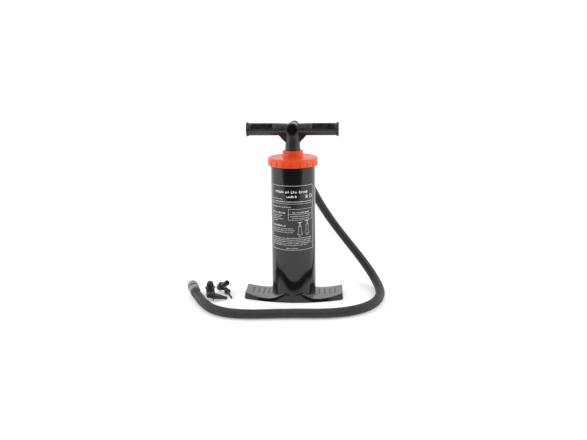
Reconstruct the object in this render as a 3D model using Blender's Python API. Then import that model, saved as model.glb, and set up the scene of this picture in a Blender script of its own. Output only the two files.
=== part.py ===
"""Double action hand pump: barrel on a foot plate, screw cap, hollow rod with a two-way piston,
T handle with a port at the front and at the back, and a corrugated hose with its nozzles.

The barrel's axis is Z, the foot rests on Z = 0, and the front port looks along -Y."""

import math

import bmesh
import bpy
from mathutils import Vector

# ---------------------------------------------------------------- driving sizes, in metres
TOUCH_GAP = 0.0003        # between pieces that touch
RUN_GAP = 0.0003          # between pieces that slide or turn

# barrel
BORE_R = 0.0432
BARREL_BASE_R = 0.0480
BARREL_TOP_R = 0.0466
BARREL_FLOOR = 0.006
BARREL_HEIGHT = 0.3040
COLLAR_HEIGHT = 0.0128
COLLAR_WALL = 0.0028

# foot plate
FOOT_HALF_WIDTH = 0.1084
FOOT_DRAFT = 0.0025
FOOT_WAIST_X = 0.058
FOOT_WAIST_Z = 0.007
FOOT_END_Z = 0.0145
FOOT_ROOT_Z = 0.017
FOOT_FRONT_END_Y = -0.0255
FOOT_BACK_Y = 0.036
FOOT_CORNER_R = 0.006
FOOT_POCKET_DEPTH = 0.004
FOOT_WALL = 0.003

# thread between barrel and cap
THREAD_PITCH = 0.004
THREAD_DEPTH = 0.0014
THREAD_TURNS = 1.5
THREAD_CLEARANCE = 0.0006

# cap
CAP_TOP_WALL = 0.0030
CAP_WALL = 0.0044
CAP_RIB = 0.0016
CAP_RIBS = 20
CAP_RIB_HEIGHT = 0.0118
CAP_SHOULDER_R = 0.0045
CAP_EDGE = 0.0012
CAP_BOSS_WALL = 0.0020
CAP_BOSS_HEIGHT = 0.0140
CAP_BOSS_TOP_WALL = 0.0025
SEAL_THICKNESS = 0.0017

# rod and what guides it
ROD_R = 0.0160
ROD_WALL = 0.0026
GUIDE_WALL = 0.0034
GUIDE_BUSH_LENGTH = 0.0085
ROD_SEAL_LENGTH = 0.0030
RETAINER_LENGTH = 0.0018
DIVIDER_THICKNESS = 0.0020

# piston
PISTON_HEIGHT = 0.028
PISTON_BELOW = 0.0035     # clearance to the barrel floor at rest
PISTON_GAP = 0.0007       # radial, to the bore
PISTON_PLATE = 0.003
PISTON_WALL = 0.0022
PISTON_COLLAR_HEIGHT = 0.0085
PISTON_COLLAR_WALL = 0.0026
RING_HEIGHT = 0.0060
RING_DEPTH = 0.0034
ROD_WINDOW_WIDTH = 0.014
VALVE_MARGIN = 0.0008
VALVE_THICKNESS = 0.0010
VALVE_PORTS = 4
SCREW_BOSS_R = 0.0036
SCREW_BOSS_GAP = 0.0030   # from a screw boss to the outer wall
SCREW_R = 0.0015
SCREW_HEAD_R = 0.0030
SCREW_HEAD_HEIGHT = 0.0020

# handle
NECK_CLEARANCE = 0.0017   # under the neck's shoulder at rest
NECK_TO_PORT = 0.0420
GUSSET_DROP = 0.0265      # from the port's axis to the gussets' foot
PORT_R = 0.0105
HUB_R = 0.0142
HUB_HALF_LENGTH = 0.019
HUB_SIDE_X = 0.0145        # where each grip meets the hub
NECK_TOP_R = 0.0149
SPIGOT_LENGTH = 0.024
SPIGOT_WALL = 0.0022
GRIP_HALF_LENGTH = 0.096
GRIP_R = 0.0130
GRIP_ROOT_R = 0.0120
GRIP_FLANGE_R = 0.0153
GUSSET_X = 0.0285
GUSSET_THICKNESS = 0.008

# hose, its cuff in the back port and its end
HOSE_R = 0.0100
CUFF_PLUG_LENGTH = 0.0085
CUFF_FLANGE_R = 0.0135
CUFF_FLANGE = 0.0035
CUFF_R = 0.0125
CUFF_END_Y = 0.058
AIR_BORE_R = 0.0070
SLEEVE_R = 0.0118
SLEEVE_LENGTH = 0.0135
SPIGOT_R = 0.0095
END_SPIGOT_LENGTH = 0.009
END_RING_R = 0.0126
END_RING_WIDTH = 0.0022
END_COLLAR_R = 0.0114
END_COLLAR_LENGTH = 0.0140
END_CHAMFER = 0.0015
TWINE_R = 0.0005

# sides of a round piece
FINE, ROUND, SMALL, TINY = 48, 32, 16, 10

# worked out from the sizes above
COLLAR_R = BORE_R + COLLAR_WALL
SHOULDER_Z = BARREL_HEIGHT - COLLAR_HEIGHT
THREAD_CREST_R = COLLAR_R + THREAD_DEPTH
CAP_BORE_R = THREAD_CREST_R + THREAD_CLEARANCE
CAP_R = CAP_BORE_R + CAP_WALL
CAP_FLOOR_Z = SHOULDER_Z + 0.0018
CAP_CEILING_Z = BARREL_HEIGHT + SEAL_THICKNESS + 2 * TOUCH_GAP
CAP_TOP_Z = CAP_CEILING_Z + CAP_TOP_WALL
BOSS_TOP_Z = CAP_TOP_Z + CAP_BOSS_HEIGHT
NECK_FOOT_Z = BOSS_TOP_Z + NECK_CLEARANCE
PORT_Z = NECK_FOOT_Z + NECK_TO_PORT
GUSSET_Z = PORT_Z - GUSSET_DROP
ROD_BORE_R = ROD_R - ROD_WALL
GUIDE_R = ROD_R + RUN_GAP + GUIDE_WALL
CAP_BOSS_R = GUIDE_R + TOUCH_GAP + CAP_BOSS_WALL
PISTON_Z = BARREL_FLOOR + PISTON_BELOW
PISTON_TOP_Z = PISTON_Z + PISTON_HEIGHT
PISTON_R = BORE_R - PISTON_GAP
RING_Z = PISTON_Z + 0.5 * (PISTON_HEIGHT - RING_HEIGHT)
RING_INNER_R = PISTON_R - RING_DEPTH
PLENUM_R = RING_INNER_R - TOUCH_GAP - PISTON_WALL
PISTON_COLLAR_R = ROD_R + TOUCH_GAP + PISTON_COLLAR_WALL
PISTON_SCREW_X = PLENUM_R - SCREW_BOSS_GAP - SCREW_BOSS_R
VALVE_OFFSET = 0.5 * (PLENUM_R + PISTON_COLLAR_R)
VALVE_R = 0.5 * (PLENUM_R - PISTON_COLLAR_R) - VALVE_MARGIN
VALVE_STEM_R = 0.18 * VALVE_R
VALVE_PORT_R = 0.21 * VALVE_R
PLENUM_FLOOR_Z = PISTON_Z + PISTON_PLATE
PLENUM_TOP_Z = PISTON_TOP_Z - PISTON_PLATE
ROD_FOOT_Z = PLENUM_FLOOR_Z + TOUCH_GAP
HOSE_FLOOR_Z = HOSE_R + 0.0004

# the hose's way from the back port, down behind the barrel and round on the floor, in millimetres
FLOOR_Z = 1000 * HOSE_FLOOR_Z
TOP_Z = 1000 * PORT_Z
HOSE_ROUTE_MM = [
    (0, 1000 * (CUFF_END_Y + TOUCH_GAP), TOP_Z), (0, 80, TOP_Z - 0.5), (0, 106, TOP_Z - 11),
    (0, 126, TOP_Z - 33), (0, 138, TOP_Z - 65),
    (12, 143, 261), (32.5, 143, 217), (56.5, 140, 174), (85, 134, 132), (117.5, 122, 92), (149, 103, 56),
    (172.5, 77, 29), (184.5, 48, 15), (189, 14, FLOOR_Z), (186.5, -25, FLOOR_Z), (173.5, -64, FLOOR_Z),
    (149, -95, FLOOR_Z), (112, -117, FLOOR_Z), (66, -127, FLOOR_Z), (16, -129, FLOOR_Z),
    (-34, -132, FLOOR_Z), (-82, -136, FLOOR_Z), (-127, -131, FLOOR_Z), (-163, -111, FLOOR_Z),
    (-189, -76, FLOOR_Z), (-204, -46, FLOOR_Z), (-212.6, -29.5, FLOOR_Z), (-217.2, -19.5, 13.2),
]

# the string from its loop round the hose, down and along the floor among the nozzles, in millimetres
TWINE_ROUTE_MM = [
    (-204.0, -20.2, 11.4), (-201, -19.2, 9.2), (-198.6, -18.9, 6.0), (-196.4, -19.8, 2.8), (-193, -21.2, 1.1),
    (-186, -22.6, 0.9), (-178, -23.3, 0.9), (-170, -22.6, 0.9), (-163.5, -20, 0.9), (-160, -15.5, 0.9),
]


# ---------------------------------------------------------------- modelling helpers
def clear_scene():
    for thing in list(bpy.data.objects):
        bpy.data.objects.remove(thing, do_unlink=True)


def material(name, colour, roughness, metallic=0.0):
    made = bpy.data.materials.get(name) or bpy.data.materials.new(name)
    made.use_nodes = True
    shader = made.node_tree.nodes["Principled BSDF"]
    shader.inputs["Base Color"].default_value = (*colour, 1.0)
    shader.inputs["Roughness"].default_value = roughness
    shader.inputs["Metallic"].default_value = metallic
    return made


def add_object(name, shape, finish, parent=None):
    """Turns a bmesh into an object with outward faces and smooth round sides."""
    bmesh.ops.recalc_face_normals(shape, faces=shape.faces)
    mesh = bpy.data.meshes.new(name)
    shape.to_mesh(mesh)
    shape.free()
    mesh.materials.append(finish)
    mesh.shade_smooth()
    mesh.set_sharp_from_angle(angle=math.radians(35))
    made = bpy.data.objects.new(name, mesh)
    bpy.context.scene.collection.objects.link(made)
    made.parent = parent
    return made


def turned_shape(profile, sides):
    """A solid turned about Z from (radius, height) points, which close on themselves or on the axis."""
    shape = bmesh.new()
    points = [shape.verts.new((radius, 0, height)) for radius, height in profile]
    loop = points if profile[0][0] == 0 and profile[-1][0] == 0 else points + points[:1]
    edges = [shape.edges.new(pair) for pair in zip(loop, loop[1:])]
    bmesh.ops.spin(shape, geom=points + edges, cent=(0, 0, 0), axis=(0, 0, 1),
                   angle=math.tau, steps=sides, use_merge=True)
    bmesh.ops.remove_doubles(shape, verts=shape.verts, dist=1e-7)
    return shape


def turned(name, profile, sides, finish, parent=None):
    return add_object(name, turned_shape(profile, sides), finish, parent)


def tube_profile(inner, outer, low, high):
    return [(inner, low), (outer, low), (outer, high), (inner, high)]


def box_shape(low, high):
    shape = bmesh.new()
    bmesh.ops.create_cube(shape, size=1.0)
    size = Vector(high) - Vector(low)
    bmesh.ops.scale(shape, vec=size, verts=shape.verts)
    bmesh.ops.translate(shape, vec=(Vector(high) + Vector(low)) / 2, verts=shape.verts)
    return shape


def prism_shape(outline, low, high):
    """The (x, z) outline as a solid between two heights of y."""
    shape = bmesh.new()
    face = shape.faces.new([shape.verts.new((x, low, z)) for x, z in outline])
    grown = bmesh.ops.extrude_face_region(shape, geom=[face])["geom"]
    moved = [part for part in grown if isinstance(part, bmesh.types.BMVert)]
    bmesh.ops.translate(shape, vec=(0, high - low, 0), verts=moved)
    return shape


def helper(name, shape):
    """A solid that only cuts or adds to another one."""
    made = add_object(name, shape, material("helper", (0.8, 0.2, 0.2), 0.5))
    made.hide_render = True
    made.display_type = "WIRE"
    return made


def combine(target, tool, operation):
    change = target.modifiers.new(tool.name, "BOOLEAN")
    change.operation = operation
    change.solver = "EXACT"
    change.object = tool


def cut(target, name, shape):
    tool = helper(name, shape)
    combine(target, tool, "DIFFERENCE")
    return tool


def add(target, name, shape):
    tool = helper(name, shape)
    combine(target, tool, "UNION")
    return tool


def stand_along(thing, place, direction):
    """Puts a piece that was turned about Z at a place, with its Z along a direction."""
    thing.location = place
    thing.rotation_euler = Vector(direction).to_track_quat("Z", "Y").to_euler()
    return thing


def empty(name, parent=None, place=(0, 0, 0)):
    made = bpy.data.objects.new(name, None)
    made.empty_display_size = 0.03
    bpy.context.scene.collection.objects.link(made)
    made.parent = parent
    made.location = place
    return made


def helical_ridge(root_r, crest_r, low, turns):
    """A thread ridge from the root radius to the crest radius, one pitch a turn, with closed ends."""
    shape = bmesh.new()
    steps_a_turn = 24
    root_half = 0.22 * THREAD_PITCH
    crest_half = 0.12 * THREAD_PITCH
    section = [(root_r, -root_half), (crest_r, -crest_half), (crest_r, crest_half), (root_r, root_half)]
    rings = []
    for step in range(int(turns * steps_a_turn) + 1):
        angle = math.tau * step / steps_a_turn
        height = low + THREAD_PITCH * step / steps_a_turn
        rings.append([
            shape.verts.new((radius * math.cos(angle), radius * math.sin(angle), height + rise))
            for radius, rise in section
        ])
    for here, there in zip(rings, rings[1:]):
        for side in range(4):
            after = (side + 1) % 4
            shape.faces.new((here[side], there[side], there[after], here[after]))
    shape.faces.new(rings[0])
    shape.faces.new(rings[-1])
    return shape


def smooth_route(points, spacing):
    """Points about a spacing apart on a smooth curve through the route's own points."""
    ends = [2 * points[0] - points[1], *points, 2 * points[-1] - points[-2]]
    line = [points[0].copy()]
    for before, start, end, after in zip(ends, ends[1:], ends[2:], ends[3:]):
        pieces = max(1, round((end - start).length / spacing))
        for piece in range(1, pieces + 1):
            t = piece / pieces
            line.append(0.5 * (2 * start + (end - before) * t
                               + (2 * before - 5 * start + 4 * end - after) * t * t
                               + (3 * start - before - 3 * end + after) * t * t * t))
    return line


def millimetres(places):
    return [0.001 * Vector(place) for place in places]


def tube_along(name, line, radius, resolution, finish, parent):
    curve = bpy.data.curves.new(name, "CURVE")
    curve.dimensions = "3D"
    curve.bevel_depth = radius
    curve.bevel_resolution = resolution
    curve.use_fill_caps = True
    spline = curve.splines.new("POLY")
    spline.points.add(len(line) - 1)
    for point, place in zip(spline.points, line):
        point.co = (*place, 1.0)
    curve.materials.append(finish)
    made = bpy.data.objects.new(name, curve)
    bpy.context.scene.collection.objects.link(made)
    made.parent = parent
    return made


# ---------------------------------------------------------------- barrel and foot
def foot_top(x):
    """Height of the foot plate: high at its ends and at the barrel, low between them."""
    away = abs(x) - FOOT_WAIST_X
    if away > 0:
        return FOOT_WAIST_Z + (FOOT_END_Z - FOOT_WAIST_Z) * (away / (FOOT_HALF_WIDTH - FOOT_WAIST_X)) ** 2
    root = FOOT_WAIST_X - 0.5 * BARREL_BASE_R
    return FOOT_WAIST_Z + (FOOT_ROOT_Z - FOOT_WAIST_Z) * min(1.0, -away / root) ** 2


def foot_edges(x, inset):
    """Front and back of the foot plate at x: the front is bowed, the ends have rounded corners."""
    half_width = FOOT_HALF_WIDTH - inset
    along = min(abs(x), half_width)
    bow = (FOOT_FRONT_END_Y + BARREL_BASE_R) * (along / FOOT_HALF_WIDTH) ** 2
    front = min(-BARREL_BASE_R + bow + inset, FOOT_FRONT_END_Y + inset)
    back = FOOT_BACK_Y - inset
    past = max(0.0, along - (half_width - FOOT_CORNER_R)) / FOOT_CORNER_R
    corner = FOOT_CORNER_R * (1 - math.sqrt(max(0.0, 1 - past * past)))
    return front + corner, back - corner


def foot_shape():
    shape = bmesh.new()
    half_stations = 12
    shares = [1 - (1 - i / half_stations) ** 1.6 for i in range(half_stations + 1)]
    xs = [-share for share in reversed(shares[1:])] + shares
    rings = []
    for share in xs:
        low_x = share * FOOT_HALF_WIDTH
        high_x = share * (FOOT_HALF_WIDTH - FOOT_DRAFT)
        low_front, low_back = foot_edges(low_x, 0.0)
        high_front, high_back = foot_edges(high_x, FOOT_DRAFT)
        top = foot_top(high_x)
        rings.append([shape.verts.new(place) for place in (
            (low_x, low_front, 0), (low_x, low_back, 0), (high_x, high_back, top), (high_x, high_front, top))])
    for here, there in zip(rings, rings[1:]):
        for side in range(4):
            after = (side + 1) % 4
            shape.faces.new((here[side], here[after], there[after], there[side]))
    shape.faces.new(rings[0])
    shape.faces.new(rings[-1])
    return shape


def make_barrel(root):
    black = material("black_gloss_abs", (0.014, 0.014, 0.015), 0.22)
    barrel = turned("barrel", [
        (0, 0), (BARREL_BASE_R, 0), (BARREL_TOP_R, SHOULDER_Z - 0.0008), (BARREL_TOP_R - 0.0006, SHOULDER_Z),
        (COLLAR_R, SHOULDER_Z), (COLLAR_R, BARREL_HEIGHT - 0.0006), (COLLAR_R - 0.0006, BARREL_HEIGHT),
        (0, BARREL_HEIGHT)], FINE, black, root)
    add(barrel, "foot_body", foot_shape())
    cut(barrel, "barrel_bore", turned_shape([
        (0, BARREL_FLOOR), (BORE_R - 0.002, BARREL_FLOOR), (BORE_R, BARREL_FLOOR + 0.002),
        (BORE_R, BARREL_HEIGHT + 0.01), (0, BARREL_HEIGHT + 0.01)], FINE))
    ridge_low = SHOULDER_Z + 0.0028
    add(barrel, "barrel_thread",
        helical_ridge(COLLAR_R - 0.0005, THREAD_CREST_R, ridge_low, THREAD_TURNS))
    rib = 0.0016
    inner_x = BARREL_BASE_R + FOOT_WALL
    outer_x = FOOT_HALF_WIDTH - FOOT_WALL - FOOT_DRAFT
    middle_x = 0.5 * (inner_x + outer_x)
    front = FOOT_FRONT_END_Y + FOOT_DRAFT
    back = FOOT_BACK_Y - FOOT_WALL - FOOT_DRAFT
    for side, sign in (("left", -1), ("right", 1)):
        for spot, (near, far) in enumerate(((inner_x, middle_x - rib), (middle_x + rib, outer_x))):
            low, high = sorted((sign * near, sign * far))
            shape = box_shape((low, front + FOOT_WALL, -0.01), (high, back, FOOT_POCKET_DEPTH))
            cut(barrel, f"foot_pocket_{side}_{spot + 1}", shape)
    return barrel


# ---------------------------------------------------------------- cap and what it holds
def cap_outline():
    """Half section of the cap with its boss, from the skirt's inside round to the ceiling."""
    shoulder = [
        (CAP_R - CAP_SHOULDER_R * (1 - math.cos(turn)), CAP_TOP_Z - CAP_SHOULDER_R * (1 - math.sin(turn)))
        for turn in (math.radians(30 * step) for step in range(4))
    ]
    boss_bore = GUIDE_R + TOUCH_GAP
    hole = ROD_R + 2 * RUN_GAP
    ledge = BOSS_TOP_Z - CAP_BOSS_TOP_WALL
    return [
        (CAP_BORE_R, CAP_FLOOR_Z), (CAP_R - 0.0005, CAP_FLOOR_Z), (CAP_R, CAP_FLOOR_Z + CAP_EDGE),
        (CAP_R, CAP_FLOOR_Z + CAP_RIB_HEIGHT), *shoulder, (CAP_BOSS_R + 0.0008, CAP_TOP_Z),
        (CAP_BOSS_R - 0.0003, BOSS_TOP_Z - 0.001), (CAP_BOSS_R - 0.0013, BOSS_TOP_Z), (hole, BOSS_TOP_Z),
        (hole, ledge), (boss_bore, ledge), (boss_bore, CAP_CEILING_Z), (CAP_BORE_R, CAP_CEILING_Z),
    ]


def make_cap(turning):
    orange = material("orange_pp", (0.80, 0.105, 0.022), 0.38)
    sides_a_rib = 3
    sides = sides_a_rib * CAP_RIBS
    shape = turned_shape(cap_outline(), sides)
    rib_low = CAP_FLOOR_Z + CAP_EDGE - 1e-6
    rib_high = CAP_FLOOR_Z + CAP_RIB_HEIGHT + 1e-6
    for vert in shape.verts:
        radius = math.hypot(vert.co.x, vert.co.y)
        step = round(math.atan2(vert.co.y, vert.co.x) / math.tau * sides)
        if radius > CAP_R - 1e-5 and rib_low < vert.co.z < rib_high and step % sides_a_rib == 0:
            vert.co.x *= 1 + CAP_RIB / radius
            vert.co.y *= 1 + CAP_RIB / radius
    cap = add_object("cap", shape, orange, turning)
    ridge_low = SHOULDER_Z + 0.0028 + 0.5 * THREAD_PITCH
    add(cap, "cap_thread", helical_ridge(
        CAP_BORE_R + 0.0005, CAP_BORE_R - THREAD_DEPTH, ridge_low, THREAD_TURNS))
    rubber = material("black_nbr", (0.02, 0.02, 0.02), 0.6)
    low = BARREL_HEIGHT + TOUCH_GAP
    turned("cap_seal", tube_profile(BORE_R + 0.0004, COLLAR_R - 0.0004, low, low + SEAL_THICKNESS),
           FINE, rubber, turning)


def make_rod_guide(lifting):
    ledge = BOSS_TOP_Z - CAP_BOSS_TOP_WALL
    inner = ROD_R + RUN_GAP
    bush_top = ledge - TOUCH_GAP
    bush_low = bush_top - GUIDE_BUSH_LENGTH
    seal_top = bush_low - TOUCH_GAP
    seal_low = seal_top - ROD_SEAL_LENGTH
    retainer_top = seal_low - TOUCH_GAP
    turned("rod_guide_bush", tube_profile(inner, GUIDE_R, bush_low, bush_top), ROUND,
           material("white_pom", (0.72, 0.72, 0.70), 0.35), lifting)
    turned("rod_seal", tube_profile(inner, GUIDE_R, seal_low, seal_top), ROUND,
           material("black_nbr", (0.02, 0.02, 0.02), 0.6), lifting)
    turned("seal_retainer", tube_profile(inner + 0.0006, GUIDE_R, retainer_top - RETAINER_LENGTH, retainer_top),
           ROUND, material("grey_pp", (0.16, 0.16, 0.17), 0.45), lifting)


# ---------------------------------------------------------------- rod, piston and valves
def make_rod(stroke):
    grey = material("dark_grey_pp", (0.055, 0.055, 0.058), 0.36)
    top = NECK_FOOT_Z - TOUCH_GAP
    rod = turned("piston_rod", tube_profile(ROD_BORE_R, ROD_R, ROD_FOOT_Z, top), ROUND, grey, stroke)
    window = (ROD_FOOT_Z + 0.004, PLENUM_TOP_Z - 0.004)
    half = 0.5 * ROD_WINDOW_WIDTH
    cut(rod, "rod_windows", box_shape((-half, -0.03, window[0]), (half, 0.03, window[1])))
    hole_z = PISTON_TOP_Z + 0.5 * PISTON_COLLAR_HEIGHT
    shape = turned_shape([(0, -0.03), (SCREW_R + TOUCH_GAP, -0.03), (SCREW_R + TOUCH_GAP, 0.03), (0, 0.03)], TINY)
    stand_along(cut(rod, "rod_screw_holes", shape), (0, 0, hole_z), (1, 0, 0))

    wide = ROD_BORE_R - 2 * TOUCH_GAP
    narrow = ROD_BORE_R - TOUCH_GAP - SPIGOT_WALL - 2 * TOUCH_GAP
    low = ROD_FOOT_Z + TOUCH_GAP
    step_z = NECK_FOOT_Z - SPIGOT_LENGTH - 2 * TOUCH_GAP
    high = PORT_Z + 0.0092
    half = 0.5 * DIVIDER_THICKNESS
    add_object("channel_divider", prism_shape([
        (-wide, low), (wide, low), (wide, step_z), (narrow, step_z), (narrow, high), (-narrow, high),
        (-narrow, step_z), (-wide, step_z)], -half, half), grey, stroke)


def valve_ports(piece, name, y, low, high):
    """The stem hole and the ring of air ports that one valve disc covers."""
    radii = [(0.0, 0.0, VALVE_STEM_R + 0.0004)]
    for port in range(VALVE_PORTS):
        angle = math.tau * port / VALVE_PORTS
        reach = 0.58 * VALVE_R
        radii.append((reach * math.cos(angle), reach * math.sin(angle), VALVE_PORT_R))
    holes = bmesh.new()
    for x, dy, radius in radii:
        made = bmesh.ops.create_cone(holes, cap_ends=True, segments=TINY, radius1=radius, radius2=radius,
                                     depth=high - low)["verts"]
        bmesh.ops.translate(holes, vec=(x, y + dy, 0.5 * (low + high)), verts=made)
    cut(piece, name, holes)


def piston_half(name, plate_low, plate_high, wall_low, wall_high, finish, stroke):
    """A plate with an outer wall; the two halves face each other and hold the ring between them."""
    low, high = min(plate_low, wall_low), max(plate_high, wall_high)
    half = turned(name, [(0, low), (PISTON_R, low), (PISTON_R, high), (0, high)], FINE, finish, stroke)
    hollow_low, hollow_high = (plate_high, high + 0.01) if plate_low == low else (low - 0.01, plate_low)
    cut(half, name + "_hollow", turned_shape(
        [(0, hollow_low), (PLENUM_R, hollow_low), (PLENUM_R, hollow_high), (0, hollow_high)], FINE))
    return half


def make_piston(stroke):
    grey = material("grey_abs", (0.20, 0.20, 0.21), 0.4)
    ring_top = RING_Z + RING_HEIGHT
    part_z = ring_top + 0.5 * TOUCH_GAP
    step_r = RING_INNER_R - TOUCH_GAP

    upper = piston_half("piston_upper", PLENUM_TOP_Z, PISTON_TOP_Z, part_z + 0.5 * TOUCH_GAP, PISTON_TOP_Z,
                        grey, stroke)
    collar_top = PISTON_TOP_Z + PISTON_COLLAR_HEIGHT
    add(upper, "piston_collar", turned_shape([
        (0, PLENUM_TOP_Z + 0.001), (PISTON_COLLAR_R, PLENUM_TOP_Z + 0.001), (PISTON_COLLAR_R, collar_top),
        (0, collar_top)], ROUND))
    rod_hole = ROD_R + TOUCH_GAP
    cut(upper, "piston_rod_hole", turned_shape([
        (0, PISTON_Z), (rod_hole, PISTON_Z), (rod_hole, collar_top + 0.01), (0, collar_top + 0.01)], ROUND))
    hole_z = PISTON_TOP_Z + 0.5 * PISTON_COLLAR_HEIGHT
    hole = SCREW_R + TOUCH_GAP
    stand_along(cut(upper, "collar_screw_holes", turned_shape(
        [(0, -0.03), (hole, -0.03), (hole, 0.03), (0, 0.03)], TINY)), (0, 0, hole_z), (1, 0, 0))

    lower = piston_half("piston_lower", PISTON_Z, PLENUM_FLOOR_Z, PISTON_Z, ring_top, grey, stroke)
    cut(lower, "ring_groove", turned_shape(tube_profile(
        step_r, PISTON_R + 0.01, RING_Z - TOUCH_GAP, ring_top + 0.01), FINE))
    wall = 0.5 * DIVIDER_THICKNESS
    into_wall = step_r - 0.5 * PISTON_WALL
    inside_upper = step_r - PISTON_WALL - TOUCH_GAP
    clear_rod = ROD_R + TOUCH_GAP
    wall_foot = PLENUM_FLOOR_Z - 0.001
    wall_step = ring_top - 0.001
    wall_top = PLENUM_TOP_Z - TOUCH_GAP
    for side, sign in (("left", -1), ("right", 1)):
        add(lower, f"plenum_wall_{side}", prism_shape([
            (sign * clear_rod, wall_foot), (sign * into_wall, wall_foot), (sign * into_wall, wall_step),
            (sign * inside_upper, wall_step), (sign * inside_upper, wall_top), (sign * clear_rod, wall_top)],
            -wall, wall))
        boss = turned_shape([
            (0, wall_foot), (SCREW_BOSS_R, wall_foot), (SCREW_BOSS_R, wall_top), (0, wall_top)], SMALL)
        bmesh.ops.translate(boss, vec=(sign * PISTON_SCREW_X, 0, 0), verts=boss.verts)
        add(lower, f"screw_boss_{side}", boss)

    head_z = PISTON_Z + SCREW_HEAD_HEIGHT
    tip_z = PISTON_TOP_Z - 0.0008
    steel = material("zinc_steel", (0.55, 0.55, 0.56), 0.35, 1.0)
    for side, sign in (("left", -1), ("right", 1)):
        place = (sign * PISTON_SCREW_X, 0, 0)
        for piece, name in ((lower, f"lower_screw_hole_{side}"), (upper, f"upper_screw_hole_{side}")):
            bore = turned_shape([(0, PISTON_Z - 0.01), (hole, PISTON_Z - 0.01), (hole, tip_z + TOUCH_GAP),
                                 (0, tip_z + TOUCH_GAP)], TINY)
            cut(piece, name, bore).location = place
        seat_r = SCREW_HEAD_R + TOUCH_GAP
        cut(lower, f"screw_seat_{side}", turned_shape([
            (0, PISTON_Z - 0.01), (seat_r, PISTON_Z - 0.01), (seat_r, head_z + TOUCH_GAP),
            (0, head_z + TOUCH_GAP)], SMALL)).location = place
        turned(f"piston_screw_{side}", [
            (0, PISTON_Z + TOUCH_GAP), (SCREW_HEAD_R, PISTON_Z + TOUCH_GAP), (SCREW_HEAD_R, head_z),
            (SCREW_R, head_z), (SCREW_R, tip_z - 0.002), (0, tip_z)], TINY, steel, stroke).location = place
        screw = turned(f"rod_screw_{side}", [
            (0, ROD_BORE_R + 0.0002), (SCREW_R, ROD_BORE_R + 0.0012), (SCREW_R, PISTON_COLLAR_R + TOUCH_GAP),
            (SCREW_HEAD_R, PISTON_COLLAR_R + TOUCH_GAP), (SCREW_HEAD_R, PISTON_COLLAR_R + 0.0018),
            (0, PISTON_COLLAR_R + 0.0022)], TINY, steel, stroke)
        stand_along(screw, (0, 0, hole_z), (sign, 0, 0))

    for y, kind in ((-VALVE_OFFSET, "suction"), (VALVE_OFFSET, "pressure")):
        valve_ports(upper, f"{kind}_ports_upper", y, PLENUM_TOP_Z - 0.004, PISTON_TOP_Z + 0.004)
        valve_ports(lower, f"{kind}_ports_lower", y, PISTON_Z - 0.004, PLENUM_FLOOR_Z + 0.004)

    turned("piston_ring", tube_profile(RING_INNER_R, PISTON_R + 0.0003, RING_Z, ring_top - 0.5 * TOUCH_GAP),
           FINE, material("black_nbr", (0.02, 0.02, 0.02), 0.6), stroke)


def make_valves(stroke):
    """Each disc lies on its plate and has a stem through it with a stop on the far side."""
    rubber = material("red_silicone", (0.45, 0.05, 0.03), 0.5)
    lift = 0.0015
    stop_r = VALVE_STEM_R + 0.0011
    stop = 0.0012
    stem = PISTON_PLATE + lift + 2 * TOUCH_GAP
    profile = [
        (0, VALVE_THICKNESS), (VALVE_R, VALVE_THICKNESS), (VALVE_R, 0), (VALVE_STEM_R, 0),
        (VALVE_STEM_R, -stem), (stop_r, -stem), (VALVE_STEM_R, -stem - stop), (0, -stem - stop)]
    places = {
        "suction_valve_upper": (-VALVE_OFFSET, PISTON_TOP_Z + TOUCH_GAP, 1),
        "suction_valve_lower": (-VALVE_OFFSET, PISTON_Z - TOUCH_GAP, -1),
        "pressure_valve_upper": (VALVE_OFFSET, PLENUM_TOP_Z - TOUCH_GAP, -1),
        "pressure_valve_lower": (VALVE_OFFSET, PLENUM_FLOOR_Z + TOUCH_GAP, 1),
    }
    for name, (y, z, way) in places.items():
        stand_along(turned(name, profile, SMALL, rubber, stroke), (0, y, z), (0, 0, way))


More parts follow.
